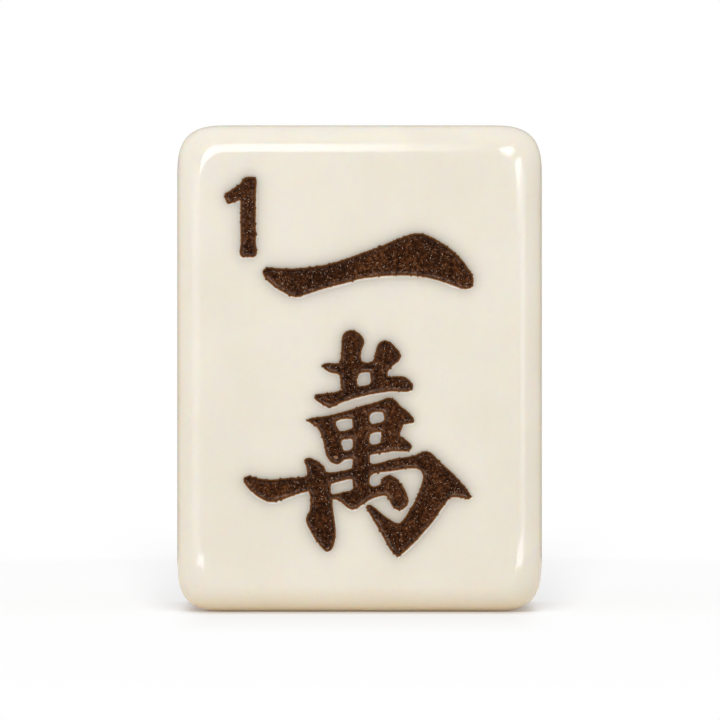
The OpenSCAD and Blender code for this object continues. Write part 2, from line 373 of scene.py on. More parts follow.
@dataclass(frozen=True)
class PigmentFinish:
    """Dried dark brown pigment: a rough crust with a glossy rim where it climbed the wall, and
    painted light and shade near the walls.
    """

    dark: Colour = srgb(26, 11, 4)
    brown: Colour = srgb(60, 32, 14)
    rust: Colour = srgb(97, 57, 29)
    tan: Colour = srgb(140, 99, 66)
    shore: Colour = srgb(112, 76, 46)
    # Painted highlight: a pale line inside walls that face down and left
    painted_highlight: Colour = srgb(156, 130, 110)
    grain_scale: float = 3000.0
    blot_scale: float = 700.0
    cell_scale: float = 4200.0
    grain_height: float = 0.04 * MM

    def material(self) -> bpy.types.Material:
        """Builds the material, which reads the mesh's gloss, painted highlight and painted shade
        near the walls.

        Returns:
            The new material.
        """
        made, graph = new_material("pigment")
        place = graph.place()
        grain = graph.noise(place, self.grain_scale, 3.0, 0.7)
        blots = graph.noise(place, self.blot_scale, 2.0)
        cells = graph.cells(place, self.cell_scale)
        tone = grain * 0.8 + blots * 0.3 - cells * 0.1
        colour = graph.ramp(tone, [
            (0.34, self.dark), (0.5, self.brown), (0.62, self.rust), (0.78, self.tan)])
        gloss = graph.attribute("gloss")
        painted_highlight = graph.attribute("painted_highlight") * graph.between(grain, 0.35, 0.6)
        shore = graph.attribute("shore") * graph.between(grain, 0.2, 0.6)
        colour = graph.mixed(shore * 0.55, colour, self.shore)
        # Painted shade inside walls that face up, and a painted highlight inside walls that face
        # down and left
        colour = graph.mixed(graph.attribute("painted_shade") * 0.38, colour, self.dark)
        colour = graph.mixed(painted_highlight * 0.5, colour, self.painted_highlight)
        bsdf = graph.node("ShaderNodeBsdfPrincipled", {}, {
            "Base Color": colour, "Roughness": 0.6 - gloss * 0.3 - grain * 0.1, "IOR": 1.45,
            "Specular IOR Level": 0.02, "Coat Roughness": 0.16,
            "Coat Weight": gloss * graph.between(grain, 0.3, 0.6) * 0.35,
            "Normal": graph.bump(grain - cells * 0.4, self.grain_height, 0.9)})
        close_material(graph, bsdf[0])
        return made


@dataclass(frozen=True)
class FleckFinish:
    """A glassy crumb in the pigment, its shade drawn for each one."""

    name: str
    dark: Colour
    pale: Colour
    roughness: float
    polish: float = 0.1

    def material(self) -> bpy.types.Material:
        """Builds the material, which reads the mesh's shade.

        Returns:
            The new material.
        """
        made, graph = new_material(self.name)
        shade = graph.attribute("shade")
        bsdf = graph.node("ShaderNodeBsdfPrincipled", {}, {
            "Base Color": graph.mixed(shade ** 2.0, self.dark, self.pale),
            "Roughness": self.roughness + shade * 0.1, "IOR": 1.5,
            "Specular IOR Level": self.polish})
        close_material(graph, bsdf[0])
        return made


@dataclass(frozen=True)
class BambooFinish:
    """Oiled bamboo: fibre bundles that run up the tile, as dots on its ends and streaks beside."""

    straw: Colour = srgb(222, 184, 126)
    honey: Colour = srgb(190, 140, 78)
    fibre: Colour = srgb(126, 74, 30)
    bundle_pitch: float = 0.62 * MM
    hair_pitch: float = 0.2 * MM
    sway: Axes = (1.0 * MM, 0.5 * MM, 0.0)
    sway_scale: Axes = (60.0, 60.0, 45.0)
    fray_scale: Axes = (1500.0, 1500.0, 60.0)
    worn_scale: Axes = (420.0, 420.0, 55.0)
    broad_scale: Axes = (240.0, 240.0, 22.0)
    thread_scale: Axes = (7000.0, 7000.0, 110.0)
    denser: Span = (-3.0 * MM, 11.0 * MM)
    grain_height: float = 0.02 * MM

    def material(self) -> bpy.types.Material:
        """Builds the material, whose pattern is a set of columns along Z.

        Returns:
            The new material.
        """
        made, graph = new_material("bamboo")
        sway = graph.noise(graph.place(self.sway_scale), 1.0, 2.0)
        sways = graph.node("ShaderNodeCombineXYZ", {}, {0: sway, 1: sway, 2: sway})[0]
        bent = graph.node("ShaderNodeVectorMath", {"operation": "MULTIPLY_ADD"}, {
            0: sways, 1: self.sway, 2: graph.spot()})[0]
        columns = graph.cells(bent, 1 / self.bundle_pitch, dimensions="2D")
        drawn = graph.cells(bent, 1 / self.bundle_pitch, "Color", "2D")
        lot = graph.node("ShaderNodeSeparateColor", {}, {0: drawn})
        hairs = graph.cells(bent, 1 / self.hair_pitch, dimensions="2D")
        outer = graph.between(graph.axes()["Y"], *self.denser)
        fray = graph.noise(graph.place(self.fray_scale), 1.0, 3.0)
        edge = columns + fray * 0.14 - lot[0] * 0.1 - outer * 0.04
        bundle = graph.between(edge, 0.31, 0.12) * (0.4 + lot[1] * 0.6)
        worn = graph.between(graph.noise(graph.place(self.worn_scale), 1.0, 2.0), 0.3, 0.6)
        bundle = bundle * (0.35 + worn * 0.65)
        hair = graph.between(hairs, 0.3, 0.1) * (0.14 + outer * 0.2)
        broad = graph.noise(graph.place(self.broad_scale), 1.0, 3.0)
        thread = graph.noise(graph.place(self.thread_scale), 1.0, 2.0)
        ground = graph.mixed(broad * 0.6 + fray * 0.3 + thread * 0.7 - 0.32, self.straw, self.honey)
        colour = graph.mixed(bundle.at_least(hair), ground, self.fibre)
        bsdf = graph.node("ShaderNodeBsdfPrincipled", {}, {
            "Base Color": colour, "Roughness": 0.36 + fray * 0.2 - bundle * 0.06, "IOR": 1.5,
            "Specular IOR Level": 0.3, "Coat Weight": 0.2 + broad * 0.2, "Coat Roughness": 0.12,
            "Normal": graph.bump(fray * 0.6 + bundle * 0.8 + hair + thread * 0.4,
                                 self.grain_height, 0.6)})
        close_material(graph, bsdf[0])
        return made


@dataclass(frozen=True)
class FloorFinish:
    """White paper: near the tile it keeps a weakened real shadow, with painted shade in the crease
    at its foot, a painted contact shadow in front and a painted soft cast shadow beside and behind
    it; further off it is plain white.
    """

    paper: Colour = (0.88, 0.86, 0.83)
    shown: Colour = (1.0, 1.0, 1.0)
    # Painted shade and shadow: in the crease at the tile's foot, on the line of contact in front
    # and in the cast shadow
    crease_shade_tone: Colour = (0.7, 0.64, 0.58)
    contact_shadow_tone: Colour = (0.6, 0.5, 0.4)
    painted_shade: Colour = (0.05, 0.02, 0.02)
    fade: Span = (0.03, 0.12)
    least_lift: float = 0.35
    lift: float = 0.88
    crease: float = 5.0 * MM
    open_from: Span = (0.24, 0.68)
    # Where the painted contact shadow lies in front of the tile, and the painted cast shadow beside
    # and behind it
    front: Span = (-17.0 * MM, -9.0 * MM)
    apron: Span = (-46.0 * MM, -10.0 * MM)
    hidden: Span = (6.0 * MM, -6.0 * MM)
    half_width: Span = (15.5 * MM, 11.5 * MM)
    front_share: float = 0.9
    apron_share: float = 0.2
    cast_from: float = 15.0 * MM
    cast_width: float = 4.0 * MM
    cast_spread: float = 0.09
    cast_start: Span = (-12.0 * MM, 6.0 * MM)
    cast_end: Span = (0.24, -0.02)
    cast_share: float = 0.13

    def material(self) -> bpy.types.Material:
        """Builds the material of the floor, which is paler to the camera than it is as a reflector.

        Returns:
            The new material.
        """
        made, graph = new_material("sweep")
        camera = graph.node("ShaderNodeLightPath")["Is Camera Ray"]
        reach = graph.node("ShaderNodeVectorMath", {"operation": "LENGTH"}, {
            0: graph.spot()})["Value"]
        free = graph.node("ShaderNodeAmbientOcclusion", {"samples": 8}, {
            "Distance": self.crease})["AO"]
        # Painted shade: the floor shown to the camera darkens where ambient occlusion finds the
        # crease at the tile's foot
        open_sky = graph.between(free, *self.open_from)
        white = self._shadowed(graph)
        shown = graph.mixed(open_sky, self.crease_shade_tone, white)
        tone = graph.mixed(camera, self.paper, shown)
        near = graph.node("ShaderNodeBsdfDiffuse", {}, {"Color": tone})[0]
        away = graph.between(reach, *self.fade)
        plain = graph.node("ShaderNodeEmission", {}, {"Color": white})[0]
        lift = open_sky * (self.lift - self.least_lift) + self.least_lift
        share = away.at_least(lift) * graph.seen()
        mixed = graph.node("ShaderNodeMixShader", {}, {0: share, 1: near, 2: plain})[0]
        close_material(graph, mixed)
        return made

    def _shadowed(self, graph: Graph) -> Signal:
        """White, with a painted contact shadow in front of the tile and a painted soft cast shadow
        beside and behind it.

        Args:
            graph: The floor's graph.

        Returns:
            The colour that the floor shows.
        """
        axes = graph.axes()
        across = graph.node("ShaderNodeMath", {"operation": "ABSOLUTE"}, {0: axes["X"]})[0]
        back = axes["Y"]
        # Painted contact shadow under the front of the tile
        under = graph.between(back, *self.front) * self.front_share
        under = under.at_least(graph.between(back, *self.apron) * self.apron_share)
        under = under * graph.between(back, *self.hidden)
        under = under * graph.between(across, *self.half_width)
        # Painted soft cast shadow beside and behind the tile, widening further back
        beside = (across - self.cast_from) / (back * self.cast_spread + self.cast_width)
        cast = graph.between(beside, 1.0, 0.0) * graph.between(back, *self.cast_start)
        cast = cast * graph.between(back, *self.cast_end) * self.cast_share
        white = graph.mixed(cast, self.shown, self.painted_shade)
        return graph.mixed(under, white, self.contact_shadow_tone)


@dataclass(frozen=True)
class GlowFinish:
    """A card's own light, its strength kept by the mesh."""

    name: str
    tint: Colour
    strength: float = 8.5

    def material(self) -> bpy.types.Material:
        """Builds the material, which reads the mesh's glow.

        Returns:
            The new material.
        """
        made, graph = new_material(self.name)
        colour = graph.mixed(1.0, graph.attribute("glow"), self.tint, "MULTIPLY")
        light = graph.node("ShaderNodeEmission", {}, {"Color": colour, "Strength": self.strength})
        close_material(graph, light[0])
        return made


# Meshes


def linked(name: str, data: bpy.types.ID) -> bpy.types.Object:
    """A new object in the scene, at the origin."""
    made = bpy.data.objects.new(name, data)
    bpy.context.scene.collection.objects.link(made)
    return made


def new_piece(name: str, mesh: bpy.types.Mesh, finish: bpy.types.Material) -> bpy.types.Object:
    """Puts a mesh in the scene as an object at the origin, with one material."""
    mesh.materials.clear()
    mesh.materials.append(finish)
    return linked(name, mesh)


def fixed(piece: bpy.types.Object, node: Optional[str] = None) -> bpy.types.Object:
    """Fixes a piece to the tile's body.

    Args:
        piece: The piece.
        node: The solid that it replaces, if any.

    Returns:
        The same piece.
    """
    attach(piece, BODY)
    if node:
        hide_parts(node)
    return piece


def opened(*meshes: bpy.types.Mesh) -> bmesh.types.BMesh:
    """The meshes' content as one BMesh to work on.

    Args:
        meshes: Meshes to join.

    Returns:
        The BMesh, which is freed after use.
    """
    work = bmesh.new()
    for mesh in meshes:
        work.from_mesh(mesh)
    return work


def closed(work: bmesh.types.BMesh, name: str) -> bpy.types.Mesh:
    """A new mesh with the content of a BMesh, which ends there.

    Args:
        work: The BMesh.
        name: Name of the mesh.

    Returns:
        The mesh.
    """
    mesh = bpy.data.meshes.new(name)
    work.to_mesh(mesh)
    work.free()
    return mesh


def evaluated(made: bpy.types.Object) -> bpy.types.Mesh:
    """A new mesh of what an object's modifiers make of it."""
    bpy.context.view_layer.update()
    graph = bpy.context.evaluated_depsgraph_get()
    return bpy.data.meshes.new_from_object(made.evaluated_get(graph))


def mesh_of(name: str, points: Sequence[Sequence[float]],
            faces: Sequence[Sequence[int]]) -> bpy.types.Mesh:
    """A mesh from its points and faces.

    Args:
        name: Name of the mesh.
        points: Its points.
        faces: Its faces, by the numbers of their points.

    Returns:
        The mesh.
    """
    mesh = bpy.data.meshes.new(name)
    mesh.from_pydata([tuple(p) for p in points], [], [tuple(f) for f in faces])
    mesh.update()
    return mesh


def points_of(mesh: bpy.types.Mesh) -> np.ndarray:
    """The mesh's points as rows of x, y and z."""
    flat = np.empty(len(mesh.vertices) * 3)
    mesh.vertices.foreach_get("co", flat)
    return flat.reshape(-1, 3)


def lifted(flat: np.ndarray, y: Union[float, np.ndarray]) -> np.ndarray:
    """Points in x and z with their y put between."""
    return np.stack([flat[:, 0], np.broadcast_to(y, len(flat)), flat[:, 1]], 1)


def lattice(across: np.ndarray, up: np.ndarray) -> np.ndarray:
    """Points in x and z at every crossing of the columns and rows."""
    return np.stack(np.meshgrid(across, up), -1).reshape(-1, 2)


def tree_of(flat: np.ndarray) -> KDTree:
    """A search tree over points in x and z.

    Args:
        flat: The points.

    Returns:
        The tree, which numbers them in the same order.
    """
    tree = KDTree(len(flat))
    for i, (x, z) in enumerate(flat):
        tree.insert((x, 0.0, z), i)
    tree.balance()
    return tree


def keep_values(mesh: bpy.types.Mesh, values: dict[str, np.ndarray]) -> None:
    """Stores one number for each point of the mesh, under each name."""
    for name, numbers in values.items():
        kept = mesh.attributes.new(name, "FLOAT", "POINT")
        kept.data.foreach_set("value", np.asarray(numbers, np.float32))


def smooth(mesh: bpy.types.Mesh, sharp_degrees: float = FORM_SHARP) -> None:
    """Shades the mesh smooth, apart from edges sharper than an angle."""
    mesh.shade_smooth()
    mesh.set_sharp_from_angle(angle=math.radians(sharp_degrees))


def sharp_edges(mesh: bpy.types.Mesh, degrees: float) -> np.ndarray:
    """Which edges are sharper than an angle.

    Args:
        mesh: The mesh, whose own flags change too.
        degrees: The angle.

    Returns:
        A flag for each edge.
    """
    mesh.set_sharp_from_angle(angle=math.radians(degrees))
    flags = np.zeros(len(mesh.edges), bool)
    mesh.attributes["sharp_edge"].data.foreach_get("value", flags)
    return flags


def smooth_slab(mesh: bpy.types.Mesh, seam_from: float) -> None:
    """Shades a slab smooth, with even the shallow edges of its joint left sharp.

    Args:
        mesh: The slab.
        seam_from: Where along Y the joint's own part of the slab begins.
    """
    mesh.shade_smooth()
    fine, coarse = sharp_edges(mesh, JOINT_SHARP), sharp_edges(mesh, FORM_SHARP)
    ends = np.empty(len(mesh.edges) * 2, int)
    mesh.edges.foreach_get("vertices", ends)
    near_seam = (points_of(mesh)[ends, 1] > seam_from).reshape(-1, 2).all(1)
    mesh.attributes["sharp_edge"].data.foreach_set("value", np.where(near_seam, fine, coarse))


def triangulated(loops: Sequence[np.ndarray],
                 free: np.ndarray) -> tuple[np.ndarray, np.ndarray]:
    """Delaunay triangles over closed loops, which stay edges, and free points.

    Args:
        loops: Closed loops of points in x and z.
        free: More points to use as corners.

    Returns:
        The points in x and z, and the triangles, counter-clockwise in that plane.
    """
    edges = []
    start = 0
    for loop in loops:
        count = len(loop)
        edges += [(start + i, start + (i + 1) % count) for i in range(count)]
        start += count
    spots = np.concatenate([*loops, free]) / MM
    made = delaunay_2d_cdt([Vector(p) for p in spots], edges, [], 0, LEAST_GAP, False)
    points = np.array([tuple(p) for p in made[0]]) * MM
    return points, np.array(made[2])


def crossings(points: np.ndarray, loops: Sequence[np.ndarray]) -> np.ndarray:
    """Whether each point lies inside the loops, by the even-odd rule.

    Args:
        points: Points in x and z.
        loops: Closed loops of points in x and z.

    Returns:
        A flag for each point.
    """
    inside = np.zeros(len(points), bool)
    for loop in loops:
        ax, az = loop[:, 0], loop[:, 1]
        bx, bz = np.roll(ax, -1), np.roll(az, -1)
        slope = (bx - ax) / np.where(bz == az, TINY, bz - az)
        for first in range(0, len(points), BATCH):
            batch = slice(first, first + BATCH)
            x, z = points[batch, 0, None], points[batch, 1, None]
            hits = ((az > z) != (bz > z)) & (x < ax + (z - az) * slope)
            inside[batch] ^= hits.sum(1) % 2 == 1
    return inside


@dataclass
class Outline:
    """One closed edge of a mark in x and z, with the pigment on its left.

    Its chips say how much of a chip there is at each point, from 0 to 1.
    """

    points: np.ndarray
    chips: Optional[np.ndarray] = None

    @property
    def is_hole(self) -> bool:
        """Whether the edge runs round a hole in the pigment."""
        x, z = self.points.T
        return float((x * np.roll(z, -1) - z * np.roll(x, -1)).sum()) < 0

    def resampled(self, step: float) -> "Outline":
        """The same edge with its points an even step apart.

        Args:
            step: Distance between two points, about.

        Returns:
            The new outline, without chips.
        """
        whole = np.vstack([self.points, self.points[:1]])
        lengths = np.linalg.norm(np.diff(whole, axis=0), axis=1)
        along = np.concatenate([[0.0], np.cumsum(lengths)])
        count = max(12, round(along[-1] / step))
        spots = np.arange(count) * along[-1] / count
        columns = [np.interp(spots, along, whole[:, k]) for k in range(2)]
        return Outline(np.stack(columns, 1))

    def outward(self) -> np.ndarray:
        """Unit vectors away from the pigment, one for each point."""
        run = np.roll(self.points, -1, 0) - np.roll(self.points, 1, 0)
        run /= np.linalg.norm(run, axis=1, keepdims=True)
        return np.stack([run[:, 1], -run[:, 0]], 1)

    def moved(self, distance: Union[float, np.ndarray]) -> np.ndarray:
        """The points moved away from the pigment by a distance."""
        shift = np.broadcast_to(distance, len(self.points))
        return self.points + self.outward() * shift[:, None]


@dataclass(frozen=True)
class Chipping:
    """How the engraver's tool and the wear left the edges of the marks ragged."""

    spacing: float = 0.31 * MM
    depth: float = 0.06 * MM
    depth_shares: Span = (0.1, 1.0)
    width: float = 0.065 * MM
    width_shares: Span = (0.6, 1.5)
    wobble: float = 0.027 * MM
    wobble_pitch: float = 0.17 * MM
    swell: float = 0.016 * MM
    hole_swell: float = 0.034 * MM
    nudge: Span = (-0.003 * MM, 0.028 * MM)

    def applied(self, outline: Outline, seed: int) -> Outline:
        """The outline with its small chips, the same ones for the same seed.

        Args:
            outline: The edge to chip.
            seed: Seed of its draws.

        Returns:
            The ragged edge, with the size of its chips.
        """
        draw = np.random.default_rng(seed)
        steps = np.linalg.norm(np.roll(outline.points, -1, 0) - outline.points, axis=1)
        along = np.cumsum(steps)
        total = along[-1]
        shift = np.zeros(len(along))
        for _ in range(round(total / self.spacing)):
            gap = np.abs(along - draw.uniform(0, total))
            gap = np.minimum(gap, total - gap)
            width = self.width * draw.uniform(*self.width_shares)
            depth = self.depth * draw.uniform(*self.depth_shares) ** 2
            shift += depth * np.exp(-(gap / width) ** 2)
        shake = [noise.noise(Vector((x, seed * MM, z)) / self.wobble_pitch)
                 for x, z in outline.points]
        swell = self.hole_swell if outline.is_hole else self.swell
        ragged = outline.moved(swell + shift + self.wobble * np.array(shake))
        return Outline(ragged + self.nudge, np.clip(shift / self.depth, 0, 1))


def outlines_of(node: str) -> list[Outline]:
    """The edges of a fill's front face, outer ones and holes, read from the frame.

    Args:
        node: Name of the fill's node.

    Returns:
        The edges, with the pigment on the left of each.
    """
    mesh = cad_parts[node].data
    spots = points_of(mesh)
    front = spots[:, 1].min()
    onward = {}
    pairs = set()
    for face in mesh.polygons:
        if all(spots[v][1] < front + LEVEL for v in face.vertices):
            keys = [tuple(np.round(spots[v][[0, 2]] * STEPS).astype(int)) for v in face.vertices]
            pairs.update(zip(keys, keys[1:] + keys[:1]))
    for a, b in pairs:
        if (b, a) not in pairs:
            onward[a] = b
    found = []
    while onward:
        key = next(iter(onward))
        loop = []
        while key in onward:
            loop.append(key)
            key = onward.pop(key)
        found.append(Outline(np.array(loop) / STEPS))
    return found


class EdgeField:
    """How far any point of the face lies from the nearest edge of the marks."""

    # Sizes of a chip at which pigment begins to fill it and has filled it
    FILLED_CHIP = (0.35, 0.75)

    def __init__(self, outlines: Sequence[Outline]) -> None:
        """Sorts the outlines' points for searching.

        Args:
            outlines: All edges of the marks.
        """
        self.loops = [o.points for o in outlines]
        self.points = np.concatenate(self.loops)
        self.before = np.concatenate([np.roll(p, 1, 0) for p in self.loops])
        self.after = np.concatenate([np.roll(p, -1, 0) for p in self.loops])
        self.outward = np.concatenate([o.outward() for o in outlines])
        self.chips = np.concatenate([
            np.zeros(len(o.points)) if o.chips is None else o.chips for o in outlines])
        self.tree = tree_of(self.points)

    def distance(self, points: np.ndarray) -> np.ndarray:
        """Distance of each point to the nearest edge, negative inside the marks.

        Args:
            points: Points in x and z.

        Returns:
            A distance for each point.
        """
        nearest = self._nearest(points)
        here = self.points[nearest]
        gaps = [self._to_segment(points, here, end[nearest]) for end in (self.before, self.after)]
        sign = np.where(crossings(points, self.loops), -1.0, 1.0)
        return np.minimum(*gaps) * sign

    def specks(self, points: np.ndarray, width: float) -> np.ndarray:
        """How much of a filled chip there is at each point, from 0 to 1.

        Args:
            points: Points in x and z.
            width: How far a speck reaches.

        Returns:
            A share for each point.
        """
        nearest = self._nearest(points)
        away = np.linalg.norm(points - self.points[nearest], axis=1)
        filled = np.interp(self.chips[nearest], self.FILLED_CHIP, (0, 1))
        return filled * np.exp(-(away / width) ** 2)

    def facing(self, points: np.ndarray, way: Way) -> np.ndarray:
        """How far the edge nearest to each point looks a given way, from 0 to 1."""
        return np.clip(self.outward[self._nearest(points)] @ np.array(way), 0, 1)

    def _nearest(self, points: np.ndarray) -> np.ndarray:
        """Number of the edge point that is nearest to each point."""
        return np.array([self.tree.find((x, 0.0, z))[1] for x, z in points])

    @staticmethod
    def _to_segment(points: np.ndarray, start: np.ndarray, end: np.ndarray) -> np.ndarray:
        """Distance of each point to its own segment."""
        run = end - start
        share = ((points - start) * run).sum(1) / np.maximum((run * run).sum(1), TINY)
        return np.linalg.norm(points - start - run * np.clip(share, 0, 1)[:, None], axis=1)


class ShadeField:
    """How much of what surrounds a point of the face is taken up by the marks."""

    # How many spreads wide the grid's margin is, and half of the blur
    MARGIN, KERNEL = 5, 4

    def __init__(self, loops: Sequence[np.ndarray], cell: float = 0.1 * MM,
                 spread: float = 0.58 * MM) -> None:
        """Fills a grid with the marks and blurs it.

        Args:
            loops: Outlines of the marks.
            cell: Size of the grid's cells.
            spread: How far a mark reaches.
        """
        every = np.concatenate(loops)
        margin = self.MARGIN * spread
        self.cell = cell
        self.low = every.min(0) - margin
        counts = np.ceil((every.max(0) + margin - self.low) / cell).astype(int) + 1
        x, z = (self.low[k] + np.arange(counts[k]) * cell for k in range(2))
        spots = np.stack(np.meshgrid(x, z, indexing="ij"), -1).reshape(-1, 2)
        grid = crossings(spots, loops).astype(float).reshape(counts)
        half = round(self.KERNEL * spread / cell)
        steps = np.arange(-half, half + 1) * cell
        near = np.exp(-(steps / spread) ** 2)
        wide = np.exp(-np.abs(steps) / spread)
        kernel = near / near.sum() * 0.5 + wide / wide.sum() * 0.5
        for axis in range(2):
            grid = np.apply_along_axis(lambda row: np.convolve(row, kernel, "same"), axis, grid)
        self.grid = grid

    def at(self, points: np.ndarray) -> np.ndarray:
        """The share at each point, from 0 to 1.

        Args:
            points: Points in x and z.

        Returns:
            A share for each point.
        """
        spot = (points - self.low) / self.cell
        spot = np.clip(spot, 0, np.array(self.grid.shape) - 1.001)
        i, j = spot.astype(int).T
        u, v = (spot - spot.astype(int)).T
        grid = self.grid
        return ((grid[i, j] * (1 - u) + grid[i + 1, j] * u) * (1 - v)
                + (grid[i, j + 1] * (1 - u) + grid[i + 1, j + 1] * u) * v)


# The tile


class Mark(Enum):
    """The four filled marks, by their node in the frame."""

    NUMERAL = "numeral_fill"
    STROKE = "stroke_fill"
    CROWN = "crown_fill"
    CHARACTER = "character_fill"


@dataclass(frozen=True)
class Groove:
    """Section of an engraved groove, by distance from its edge: outside is positive."""

    lip: float = 0.16 * MM
    wall: float = 0.16 * MM
    floor: float = 0.3 * MM
    edge_depth: float = 0.055 * MM
    wall_depth: float = 0.26 * MM
    depth: float = 0.8 * MM
    lip_power: float = 2.6
    lip_rows: int = 5
    row_power: float = 1.3
    outer_shares: tuple[float, ...] = (1.15, 1.6, 2.2)

    def rows(self) -> list[float]:
        """Distances from the edge at which the mesh has a row of points.

        Returns:
            The distances, those outside the mark first.
        """
        lip = [self.lip * (i / self.lip_rows) ** self.row_power
               for i in range(1, self.lip_rows + 1)]
        lip += [self.lip * share for share in self.outer_shares]
        wall = [-self.wall * i / 3 for i in (1, 2, 3)]
        return lip + wall + [-(self.wall + self.floor) / 2, -self.floor]

    def depth_at(self, distance: np.ndarray) -> np.ndarray:
        """How deep the bone lies under the face at a distance from the edge.

        Args:
            distance: The distances, negative inside the mark.

        Returns:
            A depth for each.
        """
        lip = self.edge_depth * np.clip(1 - distance / self.lip, 0, 1) ** self.lip_power
        inner = np.interp(-distance, [0, self.wall, self.floor],
                          [self.edge_depth, self.wall_depth, self.depth])
        return np.where(distance > 0, lip, inner)


@dataclass(frozen=True)
class TileForm:
    """Outer form of the tile: flat faces, rolled edges and soft, slightly square corners."""

    low: Vector
    high: Vector
    corner: float = 4.5 * MM
    corner_power: float = 3.2
    inner_corner: float = 2.5 * MM
    roll: float = 2.3 * MM
    crown: float = 0.02 * MM
    corner_steps: int = 30
    wide_steps: int = 42
    tall_steps: int = 60
    roll_rows: int = 22
    side_rows: int = 16

    @property
    def middle(self) -> Vector:
        """Middle of the tile."""
        return (self.low + self.high) / 2

    @property
    def width(self) -> float:
        """Width of the tile, along X."""
        return self.high.x - self.low.x

    @property
    def height(self) -> float:
        """Height of the tile, along Z."""
        return self.high.z - self.low.z

    def ring(self, inset: float) -> np.ndarray:
        """Closed outline in x and z, drawn in by an inset, counter-clockwise from the front.

        Args:
            inset: How far the straight sides lie inside the tile's own sides.

        Returns:
            Its points.
        """
        corner = self.corner + (self.inner_corner - self.corner) * inset / self.roll
        half_w, half_h = self.width / 2 - inset, self.height / 2 - inset
        angles = np.linspace(0, math.pi / 2, self.corner_steps + 1)
        c, s = np.cos(angles), np.sin(angles)
        reach = corner / (np.abs(c) ** self.corner_power + np.abs(s) ** self.corner_power) ** (
            1 / self.corner_power)
        arc = np.stack([half_w - corner + reach * c, half_h - corner + reach * s], 1)
        corners = [arc, arc[::-1] * (-1, 1), -arc, arc[::-1] * (1, -1)]
        sides = [self.wide_steps, self.tall_steps, self.wide_steps, self.tall_steps]
        points = []
        for k, (bend, steps) in enumerate(zip(corners, sides)):
            start, end = bend[-1], corners[(k + 1) % 4][0]
            shares = np.linspace(0, 1, steps + 1)[1:-1, None]
            points += [bend, start + (end - start) * shares]
        return np.concatenate(points) + (self.middle.x, self.middle.z)

    def bulge(self, points: np.ndarray) -> np.ndarray:
        """How far the gently crowned face falls back at points in x and z."""
        u = (points[:, 0] - self.middle.x) / (self.width / 2 - self.roll)
        v = (points[:, 1] - self.middle.z) / (self.height / 2 - self.roll)
        return self.crown * np.clip(np.maximum(u * u, v * v), 0, 1)

    def rows(self) -> list[tuple[float, float]]:
        """Inset and y of each ring, from the front face to the back face.

        Returns:
            The inset and the y of each.
        """
        turn = [math.pi / 2 * i / self.roll_rows for i in range(self.roll_rows + 1)]
        depth = self.roll - self.crown
        front = [(self.roll * (1 - math.sin(a)),
                  self.low.y + self.crown + depth * (1 - math.cos(a))) for a in turn]
        back = [(inset, self.low.y + self.high.y - y) for inset, y in reversed(front)]
        start, end = front[-1][1], back[0][1]
        side = [(0.0, start + (end - start) * i / self.side_rows)
                for i in range(1, self.side_rows)]
        return front + side + back

    def solid(self) -> bpy.types.Mesh:
        """The whole tile as a closed mesh, with a plain cap at the front and the back.

        Returns:
            The mesh.
        """
        rings = [lifted(self.ring(inset), y) for inset, y in self.rows()]
        count = len(rings[0])
        faces = [(r * count + i, (r + 1) * count + i, (r + 1) * count + (i + 1) % count,
                  r * count + (i + 1) % count)
                 for r in range(len(rings) - 1) for i in range(count)]
        last = (len(rings) - 1) * count
        faces.append(tuple(range(count)))
        faces.append(tuple(last + i for i in reversed(range(count))))
        return mesh_of("form", np.concatenate(rings), faces)


@dataclass(frozen=True)
class DovetailPlan:
    """Plan of the joint in x and y: half width at the shoulders and at the tip, and their y."""

    shoulder: float
    tip: float
    root_half: float
    tip_half: float

    @classmethod
    def of(cls, node: str, front_first: bool) -> "DovetailPlan":
        """Reads the plan off a slab of the frame.

        Args:
            node: Name of the slab's node.
            front_first: True for the back slab, whose socket opens to the front.

        Returns:
            The plan.
        """
        spots = points_of(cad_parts[node].data)
        levels = np.unique(np.round(spots[:, 1], 6))
        shoulder, tip = (levels[0], levels[1]) if front_first else (levels[-2], levels[-1])
        halves = [np.abs(spots[np.abs(spots[:, 1] - y) < LEVEL, 0]) for y in (shoulder, tip)]
        tip_half = halves[1].max() if not front_first else halves[1].min()
        return cls(shoulder, tip, halves[0].min(), tip_half)

    def block(self, form: TileForm) -> bpy.types.Mesh:
        """A block that holds all that lies in front of the joint, taller than the tile.

        Args:
            form: Outer form of the tile.

        Returns:
            A closed mesh.
        """
        far = 2 * form.high.z
        front = form.low.y - far
        plan = [(-far, front), (far, front), (far, self.shoulder), (self.root_half, self.shoulder),
                (self.tip_half, self.tip), (-self.tip_half, self.tip),
                (-self.root_half, self.shoulder), (-far, self.shoulder)]
        count = len(plan)
        points = [(x, y, z) for z in (-far, far) for x, y in plan]
        faces = [(i, (i + 1) % count, count + (i + 1) % count, count + i) for i in range(count)]
        faces.append(tuple(reversed(range(count))))
        faces.append(tuple(count + i for i in range(count)))
        return mesh_of("block", points, faces)


def cut_slab(form: TileForm, plan: DovetailPlan, keep_front: bool) -> bpy.types.Mesh:
    """One of the two slabs: the tile's form in front of the joint or behind it.

    Args:
        form: Outer form of the tile.
        plan: The slab's own side of the joint.
        keep_front: True for what lies in front.

    Returns:
        A closed mesh.
    """
    whole, block = linked("whole", form.solid()), linked("block", plan.block(form))
    cut = whole.modifiers.new("cut", "BOOLEAN")
    cut.operation = "INTERSECT" if keep_front else "DIFFERENCE"
    cut.solver = "EXACT"
    cut.object = block
    mesh = evaluated(whole)
    for helper in (whole, block):
        bpy.data.objects.remove(helper)
    return mesh


